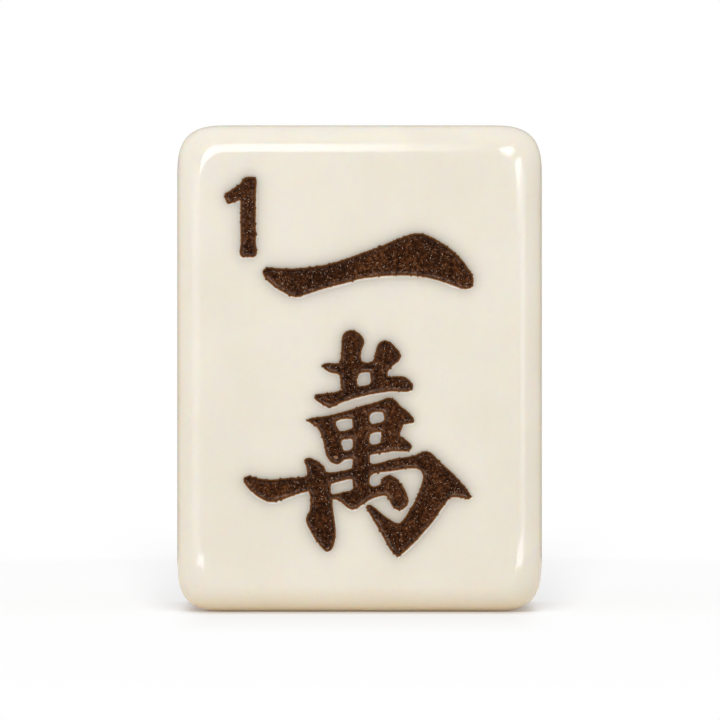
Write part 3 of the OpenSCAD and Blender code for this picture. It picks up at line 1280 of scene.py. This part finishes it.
def eased(mesh: bpy.types.Mesh, plan: DovetailPlan, width: float) -> bpy.types.Mesh:
    """Breaks the outward edges that the joint's cut has left, by a narrow bevel.

    The flat ends are made one face near the joint first, so that the bevel folds nothing over.

    Args:
        mesh: A slab that was cut to the plan.
        plan: Its side of the joint.
        width: Width of the bevel.

    Returns:
        The same mesh, changed.
    """
    work = opened(mesh)
    bmesh.ops.remove_doubles(work, verts=work.verts, dist=WELD)
    low, high = sorted((plan.shoulder, plan.tip))

    def inside(edge: bmesh.types.BMEdge, margin: float) -> bool:
        """Whether the edge lies between the shoulders and the tip, give or take a margin."""
        return all(low - margin < v.co.y < high + margin for v in edge.verts)

    flat = [e for e in work.edges if e.calc_face_angle(1.0) < EVEN
            and all(abs(f.normal.z) > UPRIGHT for f in e.link_faces) and inside(e, JOINT_REACH)]
    bmesh.ops.dissolve_edges(work, edges=flat, use_verts=True)
    edges = [e for e in work.edges
             if e.is_convex and e.calc_face_angle(0.0) > BROKEN and inside(e, LEVEL)]
    bmesh.ops.bevel(work, geom=edges, offset=width, segments=1, affect="EDGES",
                    clamp_overlap=True)
    work.to_mesh(mesh)
    work.free()
    return mesh


class Marks:
    """The ragged outlines of all marks and how far any point lies from them."""

    def __init__(self, step: float = 0.09 * MM) -> None:
        """Reads the outlines off the frame and chips them.

        Args:
            step: Distance between the points of an outline.
        """
        chipping = Chipping()
        self.outlines: dict[Mark, list[Outline]] = {}
        for order, mark in enumerate(Mark):
            self.outlines[mark] = [
                chipping.applied(edge.resampled(step), seed=100 * order + i)
                for i, edge in enumerate(outlines_of(mark.value))]
        self.field = EdgeField([o for edges in self.outlines.values() for o in edges])
        self.shade = ShadeField(self.field.loops)


@dataclass
class BoneFace:
    """The bone slab with its rolled edges, dovetail tail and engraved grooves."""

    form: TileForm
    marks: Marks
    groove: Groove = field(default_factory=Groove)
    grid: float = 0.45 * MM
    seam_ease: float = 0.035 * MM
    # How far the painted shade reaches in from the outline, fading towards the top, and up from the
    # bottom
    side_reach: float = 1.1 * MM
    foot_reach: float = 2.6 * MM
    side_power: float = 1.5
    side_fade: float = 1.2
    side_start: float = 0.2
    foot_power: float = 1.3
    row_slack: float = 0.12
    plain_shares: tuple[float, float] = (2.9, 1.4)
    # Painted shade round the marks: its strength from how much the marks surround a point, its
    # most, where it turns cooler in the holes, and the narrow darkening at the edges
    mark_shade_share: float = 1.42
    most_mark_shade: float = 0.95
    hole_shade_from: Span = (0.54, 0.66)
    crease_reach: float = 0.13 * MM
    crease_share: float = 0.4
    bleed: float = 0.035 * MM
    bleed_share: float = 0.6
    speck_width: float = 0.055 * MM
    # Edges facing this way get the painted lit stain on their walls
    lit_way: Way = (-0.45, -0.89)
    # Painted highlight: along edges facing this way the painted shade is taken away just outside,
    # leaving a pale line
    glint_way: Way = (0.2, -0.98)
    glint_reach: float = 0.085 * MM
    glint_share: float = 0.42

    def build(self, finish: bpy.types.Material) -> bpy.types.Object:
        """Makes the slab's mesh and dresses it.

        Args:
            finish: The polished bone.

        Returns:
            The piece.
        """
        plan = DovetailPlan.of("face_slab", front_first=False)
        slab = eased(cut_slab(self.form, plan, keep_front=True), plan, self.seam_ease)
        work = opened(slab)
        front = self.form.low.y + self.form.crown
        caps = [f for f in work.faces if all(v.co.y < front + ON_BORDER for v in f.verts)]
        bmesh.ops.delete(work, geom=caps, context="FACES_ONLY")
        points, triangles = self._engraved()
        work.from_mesh(mesh_of("face", points, triangles))
        bmesh.ops.remove_doubles(work, verts=work.verts, dist=FACE_WELD)
        bmesh.ops.triangulate(work, faces=[f for f in work.faces if len(f.verts) > 4])
        mesh = closed(work, "bone_face")
        self._keep_values(mesh)
        smooth_slab(mesh, plan.shoulder - JOINT_REACH)
        return fixed(new_piece("bone_face", mesh, finish), "face_slab")

    def _engraved(self) -> tuple[np.ndarray, np.ndarray]:
        """The front face inside its rolled edge, with the grooves sunk into it.

        Returns:
            Its points, and its triangles by the numbers of their points.
        """
        form, marks = self.form, self.marks
        border = form.ring(form.roll)
        pairs = [(gap, edge) for gap in self.groove.rows()
                 for edges in marks.outlines.values() for edge in edges]
        rows = np.concatenate([edge.moved(gap) for gap, edge in pairs])
        gaps = np.concatenate([np.full(len(edge.points), gap) for gap, edge in pairs])
        slack = self.row_slack * np.abs(gaps) + LEVEL
        rows = rows[np.abs(marks.field.distance(rows) - gaps) < slack]
        points, triangles = triangulated([border, *marks.field.loops],
                                         np.concatenate([rows, self._plain_points(border)]))
        depth = self.groove.depth_at(marks.field.distance(points))
        y = form.low.y + form.bulge(points) + depth
        on_border = tree_of(border)
        for i, (x, z) in enumerate(points):
            if on_border.find((x, 0.0, z))[2] < ON_BORDER:
                y[i] = form.low.y + form.crown
        return lifted(points, y), triangles

    def _plain_points(self, border: np.ndarray) -> np.ndarray:
        """Points of an even grid on the plain parts of the face and the grooves' floors.

        Args:
            border: Outline of the part inside the rolled edge.

        Returns:
            The points in x and z.
        """
        low, high = border.min(0) + self.grid / 2, border.max(0) - self.grid / 2
        across = np.linspace(low[0], high[0], round((high[0] - low[0]) / self.grid))
        up = np.linspace(low[1], high[1], round((high[1] - low[1]) / self.grid))
        grid = lattice(across, up)
        away = self.marks.field.distance(grid)
        out, down = self.plain_shares
        grid = grid[(away > self.groove.lip * out) | (away < -self.groove.floor * down)]
        edge = EdgeField([Outline(border)])
        return grid[edge.distance(grid) < -self.grid / 2]

    def _keep_values(self, mesh: bpy.types.Mesh) -> None:
        """Stores how stained each point is, and the painted shade and light that its colour takes
        from the marks, the outline and the bottom.

        Args:
            mesh: The engraved slab.
        """
        form, marks = self.form, self.marks
        spots = points_of(mesh)
        flat = spots[:, [0, 2]]
        on_face = spots[:, 1] < form.low.y + self.groove.depth + form.crown + LEVEL
        near = flat[on_face]
        away = np.full(len(spots), 1.0)
        away[on_face] = marks.field.distance(near)
        speck, lit = np.zeros(len(spots)), np.zeros(len(spots))
        speck[on_face] = marks.field.specks(near, self.speck_width)
        lit[on_face] = marks.field.facing(near, self.lit_way)
        wall = self.bleed + self.groove.wall * self.bleed_share
        # Painted shade round the marks: more where they surround a point, and a narrow darkening
        # just outside their edges
        around = marks.shade.at(flat)
        crease = np.exp(-np.maximum(away, 0) / self.crease_reach)
        mark_shade = around * self.mark_shade_share + self.crease_share * crease
        # Painted highlight: the painted shade fades out just outside edges that face down
        glint = marks.field.facing(near, self.glint_way) * self.glint_share
        mark_shade[on_face] *= 1 - glint * np.exp(-((away[on_face] / self.glint_reach) ** 2))
        # Painted shade along the outline, weaker near the top
        inset = -EdgeField([Outline(form.ring(0.0))]).distance(flat)
        down = (form.high.z - flat[:, 1]) / (form.corner * self.side_fade)
        top = np.clip(down - self.side_start, 0, 1)
        keep_values(mesh, {
            "side": np.clip(1 - inset / self.side_reach, 0, 1) ** self.side_power * top,
            "foot": np.clip(1 - flat[:, 1] / self.foot_reach, 0, 1) ** self.foot_power,
            "stain": np.clip((self.bleed - away) / wall, 0, 1),
            "mark_shade": np.where(on_face, np.clip(mark_shade, 0, self.most_mark_shade), 0.0),
            "hole_shade": np.where(on_face, np.interp(around, self.hole_shade_from, (0, 1)), 0.0),
            "speck": speck,
            "lit": lit,
        })


@dataclass
class PigmentFills:
    """The dried pigment in the grooves: a crust with a smooth rim climbing the walls."""

    form: TileForm
    marks: Marks
    groove: Groove = field(default_factory=Groove)
    grid: float = 0.08 * MM
    level: float = 0.3 * MM
    rim_radius: float = 0.26 * MM
    rim_reach: float = 0.36 * MM
    steepest: float = 0.95
    seed: int = 7
    jitter: float = 0.3
    clear_share: float = 0.45
    wall_cover: float = 0.015 * MM
    crust: float = 0.08 * MM
    lump_pitch: float = 0.5 * MM
    lump_share: float = 0.6
    grain_pitch: float = 0.2 * MM
    grain_share: float = 1.2
    grain_shift: Axes = (9.0, 0.0, 4.0)
    smooth_reach: float = 0.16 * MM
    open_share: float = 1.4
    sheen_share: float = 0.82
    sheen_width: float = 0.06 * MM
    # Where the painted highlight lies inside walls facing its way, how far the shore reaches, and
    # how far the painted shade reaches inside walls facing up
    painted_highlight_inset: float = 0.235 * MM
    painted_highlight_width: float = 0.04 * MM
    shore_reach: float = 0.13 * MM
    painted_highlight_way: Way = (-0.5, -0.87)
    painted_shade_reach: float = 0.4 * MM
    painted_shade_way: Way = (0.35, 0.94)

    def build(self, finish: bpy.types.Material) -> list[bpy.types.Object]:
        """Makes one piece for each mark."""
        return [self._fill(mark, finish) for mark in Mark]

    def _fill(self, mark: Mark, finish: bpy.types.Material) -> bpy.types.Object:
        """Makes the pigment of one mark as a closed mesh.

        Args:
            mark: The mark.
            finish: The dried pigment.

        Returns:
            The piece.
        """
        loops = [edge.points for edge in self.marks.outlines[mark]]
        points, triangles = self._inner(loops, self._grid_points(loops))
        base_points, base = self._inner(loops, np.empty((0, 2)))
        inside = -self.marks.field.distance(points)
        top = lifted(points, self._level_at(points, inside))
        under = lifted(base_points, self.form.low.y + self.groove.depth)
        work = bmesh.new()
        for spots, faces in ((top, triangles), (under, base[:, ::-1])):
            verts = [work.verts.new(p) for p in spots]
            for face in faces:
                work.faces.new([verts[i] for i in face])
        work.verts.ensure_lookup_table()
        self._close_sides(work, base_points)
        work.normal_update()
        mesh = closed(work, mark.value.replace("fill", "pigment"))
        self._keep_values(mesh, points, inside)
        smooth(mesh, CRUST_SHARP)
        return fixed(new_piece(mesh.name, mesh, finish), mark.value)

    def _keep_values(self, mesh: bpy.types.Mesh, points: np.ndarray, inside: np.ndarray) -> None:
        """Stores how each point lies to the walls, and the painted highlight and painted shade that
        the way of the nearest wall gives.

        Args:
            mesh: The pigment of one mark.
            points: Points of its top in x and z. Those of its base come after them.
            inside: How far inside the edge they lie.
        """
        around = self.marks.field
        base = (0, len(mesh.vertices) - len(points))
        depth = np.pad(inside, base)
        # Painted highlight and painted shade, by the way the nearest wall faces
        painted_highlight = np.exp(-(((inside - self.painted_highlight_inset) / self.painted_highlight_width) ** 2))
        painted_highlight *= around.facing(points, self.painted_highlight_way)
        painted_shade = np.exp(-((inside / self.painted_shade_reach) ** 2)) * around.facing(points, self.painted_shade_way)
        sheen = (depth - self.rim_reach * self.sheen_share) / self.sheen_width
        keep_values(mesh, {
            "gloss": np.exp(-(sheen ** 2)),
            "painted_highlight": np.pad(painted_highlight, base),
            "painted_shade": np.pad(painted_shade, base),
            "shore": np.exp(-depth / self.shore_reach),
            "open": depth > self.smooth_reach * self.open_share,
        })

    @staticmethod
    def _inner(loops: Sequence[np.ndarray], free: np.ndarray) -> tuple[np.ndarray, np.ndarray]:
        """Triangles over loops and free points, without those that lie outside the loops."""
        points, triangles = triangulated(loops, free)
        return points, triangles[crossings(points[triangles].mean(1), loops)]

    def _grid_points(self, loops: Sequence[np.ndarray]) -> np.ndarray:
        """Jittered grid points inside a mark, clear of its edge.

        Args:
            loops: The mark's edges.

        Returns:
            The points in x and z.
        """
        every = np.concatenate(loops)
        low, high = every.min(0), every.max(0)
        grid = lattice(*(np.arange(low[k], high[k], self.grid) for k in range(2)))
        draw = np.random.default_rng(self.seed)
        grid = grid + draw.uniform(-self.jitter, self.jitter, grid.shape) * self.grid
        grid = grid[crossings(grid, loops)]
        return grid[self.marks.field.distance(grid) < -self.grid * self.clear_share]

    def _level_at(self, points: np.ndarray, inside: np.ndarray) -> np.ndarray:
        """The y of the pigment's surface at points some way inside the edge.

        Args:
            points: Points in x and z.
            inside: How far inside the edge they lie.

        Returns:
            A y for each point.
        """
        climb = np.clip(self.rim_reach - inside, 0, self.rim_radius * self.steepest)
        rim = self.rim_radius - np.sqrt(self.rim_radius ** 2 - climb ** 2)
        wall = self.groove.depth_at(-inside) + self.wall_cover
        deep = np.maximum(self.level - rim, np.where(inside < self.groove.wall, wall, 0.0))
        rough = np.clip((inside - self.smooth_reach) / self.smooth_reach, 0, 1)
        crust = np.array([self._crust_at(x, z) for x, z in points])
        return self.form.low.y + self.form.bulge(points) + deep - self.crust * crust * rough

    def _crust_at(self, x: float, z: float) -> float:
        """Height of the crust, about -1 to 1: lumps, and finer grains on them.

        Args:
            x: Place across the tile.
            z: Place up the tile.

        Returns:
            The height.
        """
        spot = Vector((x, 0.0, z))
        lumps = noise.fractal(spot / self.lump_pitch, 1.0, 2.0, 2)
        grains = noise.fractal(spot / self.grain_pitch + Vector(self.grain_shift), 0.6, 2.1, 2)
        return self.lump_share * lumps + self.grain_share * grains

    @staticmethod
    def _close_sides(work: bmesh.types.BMesh, base_points: np.ndarray) -> None:
        """Joins the open border of the top to the border of the base, whose points come last.

        Args:
            work: The top and the base of a fill.
            base_points: Points of the base in x and z.
        """
        work.verts.index_update()
        top_count = len(work.verts) - len(base_points)
        base = tree_of(base_points)
        for edge in [e for e in work.edges if e.is_boundary]:
            if any(v.index >= top_count for v in edge.verts):
                continue
            loop = edge.link_loops[0]
            a, b = loop.vert, loop.link_loop_next.vert
            c, d = (work.verts[top_count + base.find((v.co.x, 0.0, v.co.z))[1]] for v in (b, a))
            work.faces.new([b, a, d, c])


@dataclass(frozen=True)
class Strewing:
    """One kind of crumb that lies on the pigment, strewn by Geometry Nodes."""

    name: str
    finish: FleckFinish
    per_square_mm: float
    length: float
    width: float
    height: float
    seed: int
    least: Axes = (0.45, 0.6, 0.6)
    most: Axes = (1.5, 1.3, 1.3)
    tilt: float = 0.35

    def strewn(self, fills: Sequence[bpy.types.Object]) -> bpy.types.Object:
        """Strews the crumbs over the open parts of the fills.

        Args:
            fills: The pigment's pieces.

        Returns:
            One piece with all the crumbs as a plain mesh.
        """
        ground = linked("ground", closed(opened(*(fill.data for fill in fills)), "ground"))
        tree = self._tree()
        modifier = ground.modifiers.new("strew", "NODES")
        modifier.node_group = tree
        wanted = {"Density": self.per_square_mm / MM ** 2, "Length": self.length,
                  "Width": self.width, "Height": self.height, "Seed": self.seed,
                  "Material": self.finish.material()}
        for item in tree.interface.items_tree:
            if item.item_type == "SOCKET" and item.in_out == "INPUT" and item.name in wanted:
                modifier[item.identifier] = wanted[item.name]
        mesh = evaluated(ground)
        bpy.data.objects.remove(ground)
        mesh.name = self.name
        return fixed(linked(self.name, mesh))

    def _tree(self) -> bpy.types.NodeTree:
        """The Geometry Nodes tree that strews one kind of crumb.

        Returns:
            The tree, with named inputs for the crumbs.
        """
        tree = bpy.data.node_groups.new(self.name, "GeometryNodeTree")
        inputs = {"Geometry": "Geometry", "Density": "Float", "Length": "Float", "Width": "Float",
                  "Height": "Float", "Seed": "Int", "Material": "Material"}
        for name, kind in inputs.items():
            tree.interface.new_socket(name, in_out="INPUT", socket_type=f"NodeSocket{kind}")
        tree.interface.new_socket("Geometry", in_out="OUTPUT", socket_type="NodeSocketGeometry")
        graph = Graph(tree)
        given = graph.node("NodeGroupInput")
        is_open = graph.node("GeometryNodeInputNamedAttribute", {"data_type": "FLOAT"},
                             {"Name": "open"})[0]
        spread = graph.node("GeometryNodeDistributePointsOnFaces", {
            "distribute_method": "RANDOM"}, {
            "Mesh": given["Geometry"], "Selection": is_open, "Density": given["Density"],
            "Seed": given["Seed"]})
        crumb = graph.node("GeometryNodeMeshIcoSphere", {}, {"Radius": 0.5, "Subdivisions": 1})
        size = graph.node("ShaderNodeCombineXYZ", {}, {
            0: given["Length"], 1: given["Width"], 2: given["Height"]})
        scale = graph.node("ShaderNodeVectorMath", {"operation": "MULTIPLY"}, {
            0: size[0], 1: self._drawn(given, self.least, self.most)})
        spin = self._drawn(given, (-self.tilt, -self.tilt, 0.0), (self.tilt, self.tilt, math.tau))
        turn = graph.node("FunctionNodeRotateRotation", {"rotation_space": "LOCAL"}, {
            "Rotation": spread["Rotation"], "Rotate By": spin})
        placed = graph.node("GeometryNodeInstanceOnPoints", {}, {
            "Points": spread["Points"], "Instance": crumb["Mesh"],
            "Rotation": turn["Rotation"], "Scale": scale[0]})
        shade = graph.node("FunctionNodeRandomValue", {"data_type": "FLOAT"}, {
            "Seed": given["Seed"]})
        shaded = graph.node("GeometryNodeStoreNamedAttribute", {
            "data_type": "FLOAT", "domain": "INSTANCE"}, {
            "Geometry": placed[0], "Name": "shade", "Value": shade["Value"]})
        real = graph.node("GeometryNodeRealizeInstances", {}, {0: shaded[0]})
        dressed = graph.node("GeometryNodeSetMaterial", {}, {
            "Geometry": real[0], "Material": given["Material"]})
        graph.node("NodeGroupOutput", {}, {0: dressed[0]})
        return tree

    @staticmethod
    def _drawn(given: Step, least: Axes, most: Axes) -> Signal:
        """A vector between two others, drawn for each crumb by the seed that the tree is given."""
        return given.graph.node("FunctionNodeRandomValue", {"data_type": "FLOAT_VECTOR"}, {
            "Min": least, "Max": most, "Seed": given["Seed"]})["Value"]


@dataclass(frozen=True)
class PaleGrain:
    """The one pale grain that lies in the pigment of the large sign."""

    spot: tuple[float, float] = (-1.93 * MM, 12.7 * MM)
    sunk: float = 0.27 * MM
    size: Axes = (0.2 * MM, 0.09 * MM, 0.13 * MM)
    lean: float = 25.0
    lump: float = 0.18
    lump_scale: float = 1.7
    shade: float = 0.75

    def build(self, form: TileForm, finish: bpy.types.Material) -> bpy.types.Object:
        """Makes the grain and dresses it.

        Args:
            form: Outer form of the tile.
            finish: The material of the grain.

        Returns:
            The piece.
        """
        work = bmesh.new()
        bmesh.ops.create_icosphere(work, subdivisions=3, radius=1.0)
        turn = Matrix.Rotation(math.radians(self.lean), 3, "Y")
        centre = Vector((self.spot[0], form.low.y + self.sunk, self.spot[1]))
        for vert in work.verts:
            lump = 1 + self.lump * noise.noise(vert.co * self.lump_scale)
            stretched = Vector([part * size * lump for part, size in zip(vert.co, self.size)])
            vert.co = centre + turn @ stretched
        mesh = closed(work, "pale_grain")
        keep_values(mesh, {"shade": np.full(len(mesh.vertices), self.shade)})
        smooth(mesh)
        return fixed(new_piece(mesh.name, mesh, finish))


@dataclass
class BambooBack:
    """The bamboo slab with its rolled edges and the socket for the bone's tail."""

    form: TileForm
    seam_ease: float = 0.035 * MM

    def build(self, finish: bpy.types.Material) -> bpy.types.Object:
        """Makes the slab's mesh and dresses it.

        Args:
            finish: The oiled bamboo.

        Returns:
            The piece.
        """
        plan = DovetailPlan.of("back_slab", front_first=True)
        mesh = eased(cut_slab(self.form, plan, keep_front=False), plan, self.seam_ease)
        mesh.name = "bamboo_back"
        smooth_slab(mesh, self.form.low.y)
        return fixed(new_piece("bamboo_back", mesh, finish), "back_slab")


# The studio


@dataclass(frozen=True)
class PhotoFrame:
    """Where the tile stands in the photograph, in its own 720 by 720 pixels."""

    side: float = 720.0
    left: float = 177.3
    right: float = 541.8
    top: float = 125.2
    bottom: float = 611.5

    @property
    def centre(self) -> tuple[float, float]:
        """Middle of the tile, across and down."""
        return (self.left + self.right) / 2, (self.top + self.bottom) / 2


@dataclass(frozen=True)
class Softbox:
    """A large flat lamp that faces the tile and doesn't show in its polish."""

    name: str
    azimuth: float
    elevation: float
    width: float
    height: float
    level: float
    distance: float = 0.7

    def hang(self, target: Vector) -> bpy.types.Object:
        """Hangs the lamp at its angles round the target.

        Args:
            target: Point that the lamp faces.

        Returns:
            The lamp's object.
        """
        lamp = bpy.data.lights.new(self.name, "AREA")
        lamp.shape = "RECTANGLE"
        lamp.size, lamp.size_y = self.width, self.height
        lamp.energy = self.level * math.pi ** 2 * self.distance ** 2
        a, e = math.radians(self.azimuth), math.radians(self.elevation)
        away = Vector((math.sin(a) * math.cos(e), -math.cos(a) * math.cos(e), math.sin(e)))
        hung = linked(self.name, lamp)
        hung.location = target + away * self.distance
        hung.rotation_euler = (-away).to_track_quat("-Z", "Y").to_euler()
        hung.visible_camera = hung.visible_glossy = False
        return hung


def hung_card(name: str, points: Sequence[Sequence[float]], glows: Sequence[float],
              finish: bpy.types.Material) -> bpy.types.Object:
    """Makes a staged card that only polished surfaces see, with a glow for each corner.

    Args:
        name: Name of the card.
        points: Its corners.
        glows: Its glow at each corner.
        finish: The glowing material.

    Returns:
        The card's object.
    """
    mesh = mesh_of(name, points, [range(len(points))])
    keep_values(mesh, {"glow": np.array(glows)})
    card = new_piece(name, mesh, finish)
    card.visible_camera = card.visible_diffuse = card.visible_shadow = False
    card.visible_transmission = card.visible_volume_scatter = False
    return card


@dataclass(frozen=True)
class Reflector:
    """A bright card in front of the tile that shows only in polished surfaces.

    Each corner is an angle to the right of the line of sight and one above it, in degrees, and
    the card's glow there.
    """

    name: str
    corners: Sequence[tuple[float, float, float]]
    reach: float = 3.0
    across: float = 0.0
    rise: float = 0.0

    def hang(self, target: Vector, finish: bpy.types.Material) -> bpy.types.Object:
        """Hangs the card.

        Args:
            target: Point that the angles are seen from, apart from the card's own shift.
            finish: The glowing material.

        Returns:
            The card's object.
        """
        points = []
        for right, up, _ in self.corners:
            tilt = math.radians(math.hypot(right, up))
            turn = math.atan2(right, up)
            spread = self.reach * math.tan(tilt)
            points.append(target + Vector((
                self.across + spread * math.sin(turn), -self.reach,
                self.rise + spread * math.cos(turn))))
        return hung_card(self.name, points, [glow for _, _, glow in self.corners], finish)


@dataclass(frozen=True)
class Flag:
    """A dim upright card behind the tile, which keeps the polish dark along the outline."""

    name: str
    left: float
    right: float
    bottom: float
    top: float
    glow: float

    def hang(self, depth: float, finish: bpy.types.Material) -> bpy.types.Object:
        """Hangs the card at a depth along Y."""
        points = [(self.left, depth, self.bottom), (self.right, depth, self.bottom),
                  (self.right, depth, self.top), (self.left, depth, self.top)]
        return hung_card(self.name, points, [self.glow] * 4, finish)


@dataclass
class Studio:
    """Floor, lamps, world and camera round the tile."""

    form: TileForm
    photo: PhotoFrame = field(default_factory=PhotoFrame)
    camera_distance: float = 0.43
    floor_radius: float = 3.0
    world_level: float = 0.42
    window_tint: Colour = (0.93, 0.98, 1.09)
    flag_tint: Colour = (1.12, 1.0, 0.8)
    flag_gap: float = 0.006
    flag_rise: float = 0.008
    flag_reach: float = 0.11
    flag_depth: float = 0.07

    def build(self) -> None:
        """Sets up everything round the tile."""
        self._floor()
        self._world()
        self._lamps()
        self._cards()
        self._flags()
        self._camera()
        bpy.context.scene.view_settings.view_transform = "Standard"

    def _floor(self) -> None:
        """A round white floor under the tile."""
        work = bmesh.new()
        bmesh.ops.create_circle(work, cap_ends=True, segments=96, radius=self.floor_radius)
        new_piece("sweep", closed(work, "sweep"), FloorFinish().material())

    def _world(self) -> None:
        """A white surround for the picture and its reflections, dimmer as a light."""
        world = bpy.data.worlds.new("surround")
        world.use_nodes = True
        graph = Graph(world.node_tree)
        level = graph.seen() * (1 - self.world_level) + self.world_level
        glow = graph.node("ShaderNodeBackground", {}, {
            "Color": (1.0, 1.0, 1.0), "Strength": level})
        graph.node("ShaderNodeOutputWorld", {}, {"Surface": glow[0]})
        bpy.context.scene.world = world

    def _lamps(self) -> None:
        """Hangs the soft lamps, which light the tile and don't show in its polish."""
        boxes = [
            Softbox("key", azimuth=-8, elevation=38, width=0.6, height=0.45, level=0.325),
            Softbox("top", azimuth=0, elevation=80, width=0.7, height=0.7, level=0.18),
            Softbox("fill_right", azimuth=55, elevation=20, width=0.4, height=0.4, level=0.205),
            Softbox("fill_left", azimuth=-62, elevation=18, width=0.4, height=0.4, level=0.235),
        ]
        for box in boxes:
            box.hang(self.form.middle)

    def _cards(self) -> None:
        """Hangs the bright cards that show in the tile's polish."""
        cards = [
            Reflector("window", [
                (-0.7, 6, 0.7), (-4, 4.5, 0.8), (-15, 3.3, 0.9), (-21, 3.3, 0.9), (-21.5, 9, 0.9),
                (-18.5, 14, 0.8), (-17, 18, 0.8), (-18, 25, 0.8), (-17.5, 29, 0.75),
                (-13, 32.5, 0.75), (-6, 35, 0.7), (-0.7, 37.5, 0.6)]),
            Reflector("window_edge", [
                (-0.7, 6, 0.7), (-0.7, 37.5, 0.6), (1.2, 37.5, 0.25), (1.2, 6, 0.25)]),
            Reflector("window_side", [
                (3, 5, 0.8), (4.2, 18, 0.95), (7.5, 25, 1.0), (11, 30, 1.0), (14, 32, 0.95),
                (18, 31.5, 0.9), (23.5, 28, 0.75), (22, 24.0, 0.75), (18, 19.0, 0.8),
                (13, 14.0, 0.85), (9, 9.5, 0.8), (5, 5.5, 0.8)]),
            Reflector("side_light", [
                (8, 2.4, 0.8), (33, 2.3, 0.85), (33, 6, 0.85), (32.5, 10, 0.85), (30, 13.5, 0.85),
                (26, 14, 0.85), (21, 11.5, 0.8), (15, 8.5, 0.8), (9, 5.5, 0.8)]),
            Reflector("side_fade", [
                (10, 2.4, 0.75), (33, 2.3, 0.8), (33, 1.8, 0.2), (10, 1.9, 0.15)]),
            Reflector("right_strip", [
                (24, -11.2, 0.28), (42, -11.2, 0.28), (42, 14, 0.34), (24, 14, 0.34)],
                reach=0.1, across=0.013),
            Reflector("left_strip", [
                (-50, -11.2, 0.24), (-20, -11.2, 0.24), (-20, 14, 0.24), (-50, 14, 0.24)],
                reach=0.1, across=-0.013),
            Reflector("right_foot", [
                (6, -3.8, 0.8), (30, -3.8, 0.8), (34, 1.0, 0.6), (10, -0.4, 0.6)],
                reach=0.06, across=0.013, rise=-0.0162),
            Reflector("left_foot", [
                (-32, -3.6, 0.8), (-6, -3.6, 0.8), (-4, -1.2, 0.75), (-24, -1.2, 0.75)],
                reach=0.06, across=-0.013, rise=-0.0158),
        ]
        glow = GlowFinish("window_glow", self.window_tint).material()
        for card in cards:
            card.hang(self.form.middle, glow)

    def _flags(self) -> None:
        """Hangs the dim cards that keep the tile's outline dark in its polish."""
        low, high = self.form.low, self.form.high
        left, right = low.x - self.flag_reach, high.x + self.flag_reach
        top, gap = high.z + self.flag_rise, self.flag_gap
        flags = [
            Flag("flag_left", left, low.x - gap, 0.0, top, 0.035),
            Flag("flag_right", high.x + gap, right, 0.0, top, 0.035),
            Flag("flag_top", left, right, top, high.z + self.flag_reach, 0.055),
        ]
        dim = GlowFinish("flag_glow", self.flag_tint).material()
        for flag in flags:
            flag.hang(high.y + self.flag_depth, dim)

    def _camera(self) -> None:
        """The camera, level with the tile, which fills the frame as in the photograph."""
        lens = bpy.data.cameras.new("camera")
        lens.sensor_width = 36.0
        shown = self.photo.side / (self.photo.right - self.photo.left) * self.form.width
        lens.lens = lens.sensor_width * self.camera_distance / shown
        across, down = self.photo.centre
        pixel = shown / self.photo.side
        camera = linked("camera", lens)
        camera.location = (
            self.form.middle.x + (self.photo.side / 2 - across) * pixel,
            self.form.low.y + self.form.roll - self.camera_distance,
            self.form.middle.z + (down - self.photo.side / 2) * pixel)
        camera.rotation_euler = (math.pi / 2, 0.0, 0.0)
        bpy.context.scene.camera = camera


def report(*pieces: bpy.types.Object) -> None:
    """Logs the name of each piece and how many points and faces it has."""
    for piece in pieces:
        log.info("%s: %d points, %d faces", piece.name, len(piece.data.vertices),
                 len(piece.data.polygons))


def main() -> None:
    """Builds the tile and its studio."""
    logging.basicConfig(level=logging.INFO, format="%(message)s")
    form = TileForm(CAD_BOX[0], CAD_BOX[1])
    marks = Marks()
    report(BoneFace(form, marks).build(BoneFinish().material()))
    fills = PigmentFills(form, marks).build(PigmentFinish().material())
    report(*fills)
    crumb = FleckFinish("crumb", srgb(34, 17, 8), srgb(98, 58, 32), 0.6, polish=0.01)
    fleck = FleckFinish("fleck", srgb(104, 78, 58), srgb(200, 174, 152), 0.4)
    grain = FleckFinish("grain", srgb(90, 60, 40), srgb(176, 134, 100), 0.5)
    for strewing in (
            Strewing("pigment_crumbs", crumb, 9.0, 0.2 * MM, 0.15 * MM, 0.1 * MM, seed=11),
            Strewing("pigment_flecks", fleck, 10.0, 0.2 * MM, 0.04 * MM, 0.04 * MM, seed=23)):
        report(strewing.strewn(fills))
    report(PaleGrain().build(form, grain.material()))
    report(BambooBack(form).build(BambooFinish().material()))
    Studio(form).build()


if __name__ == "__main__":
    main()
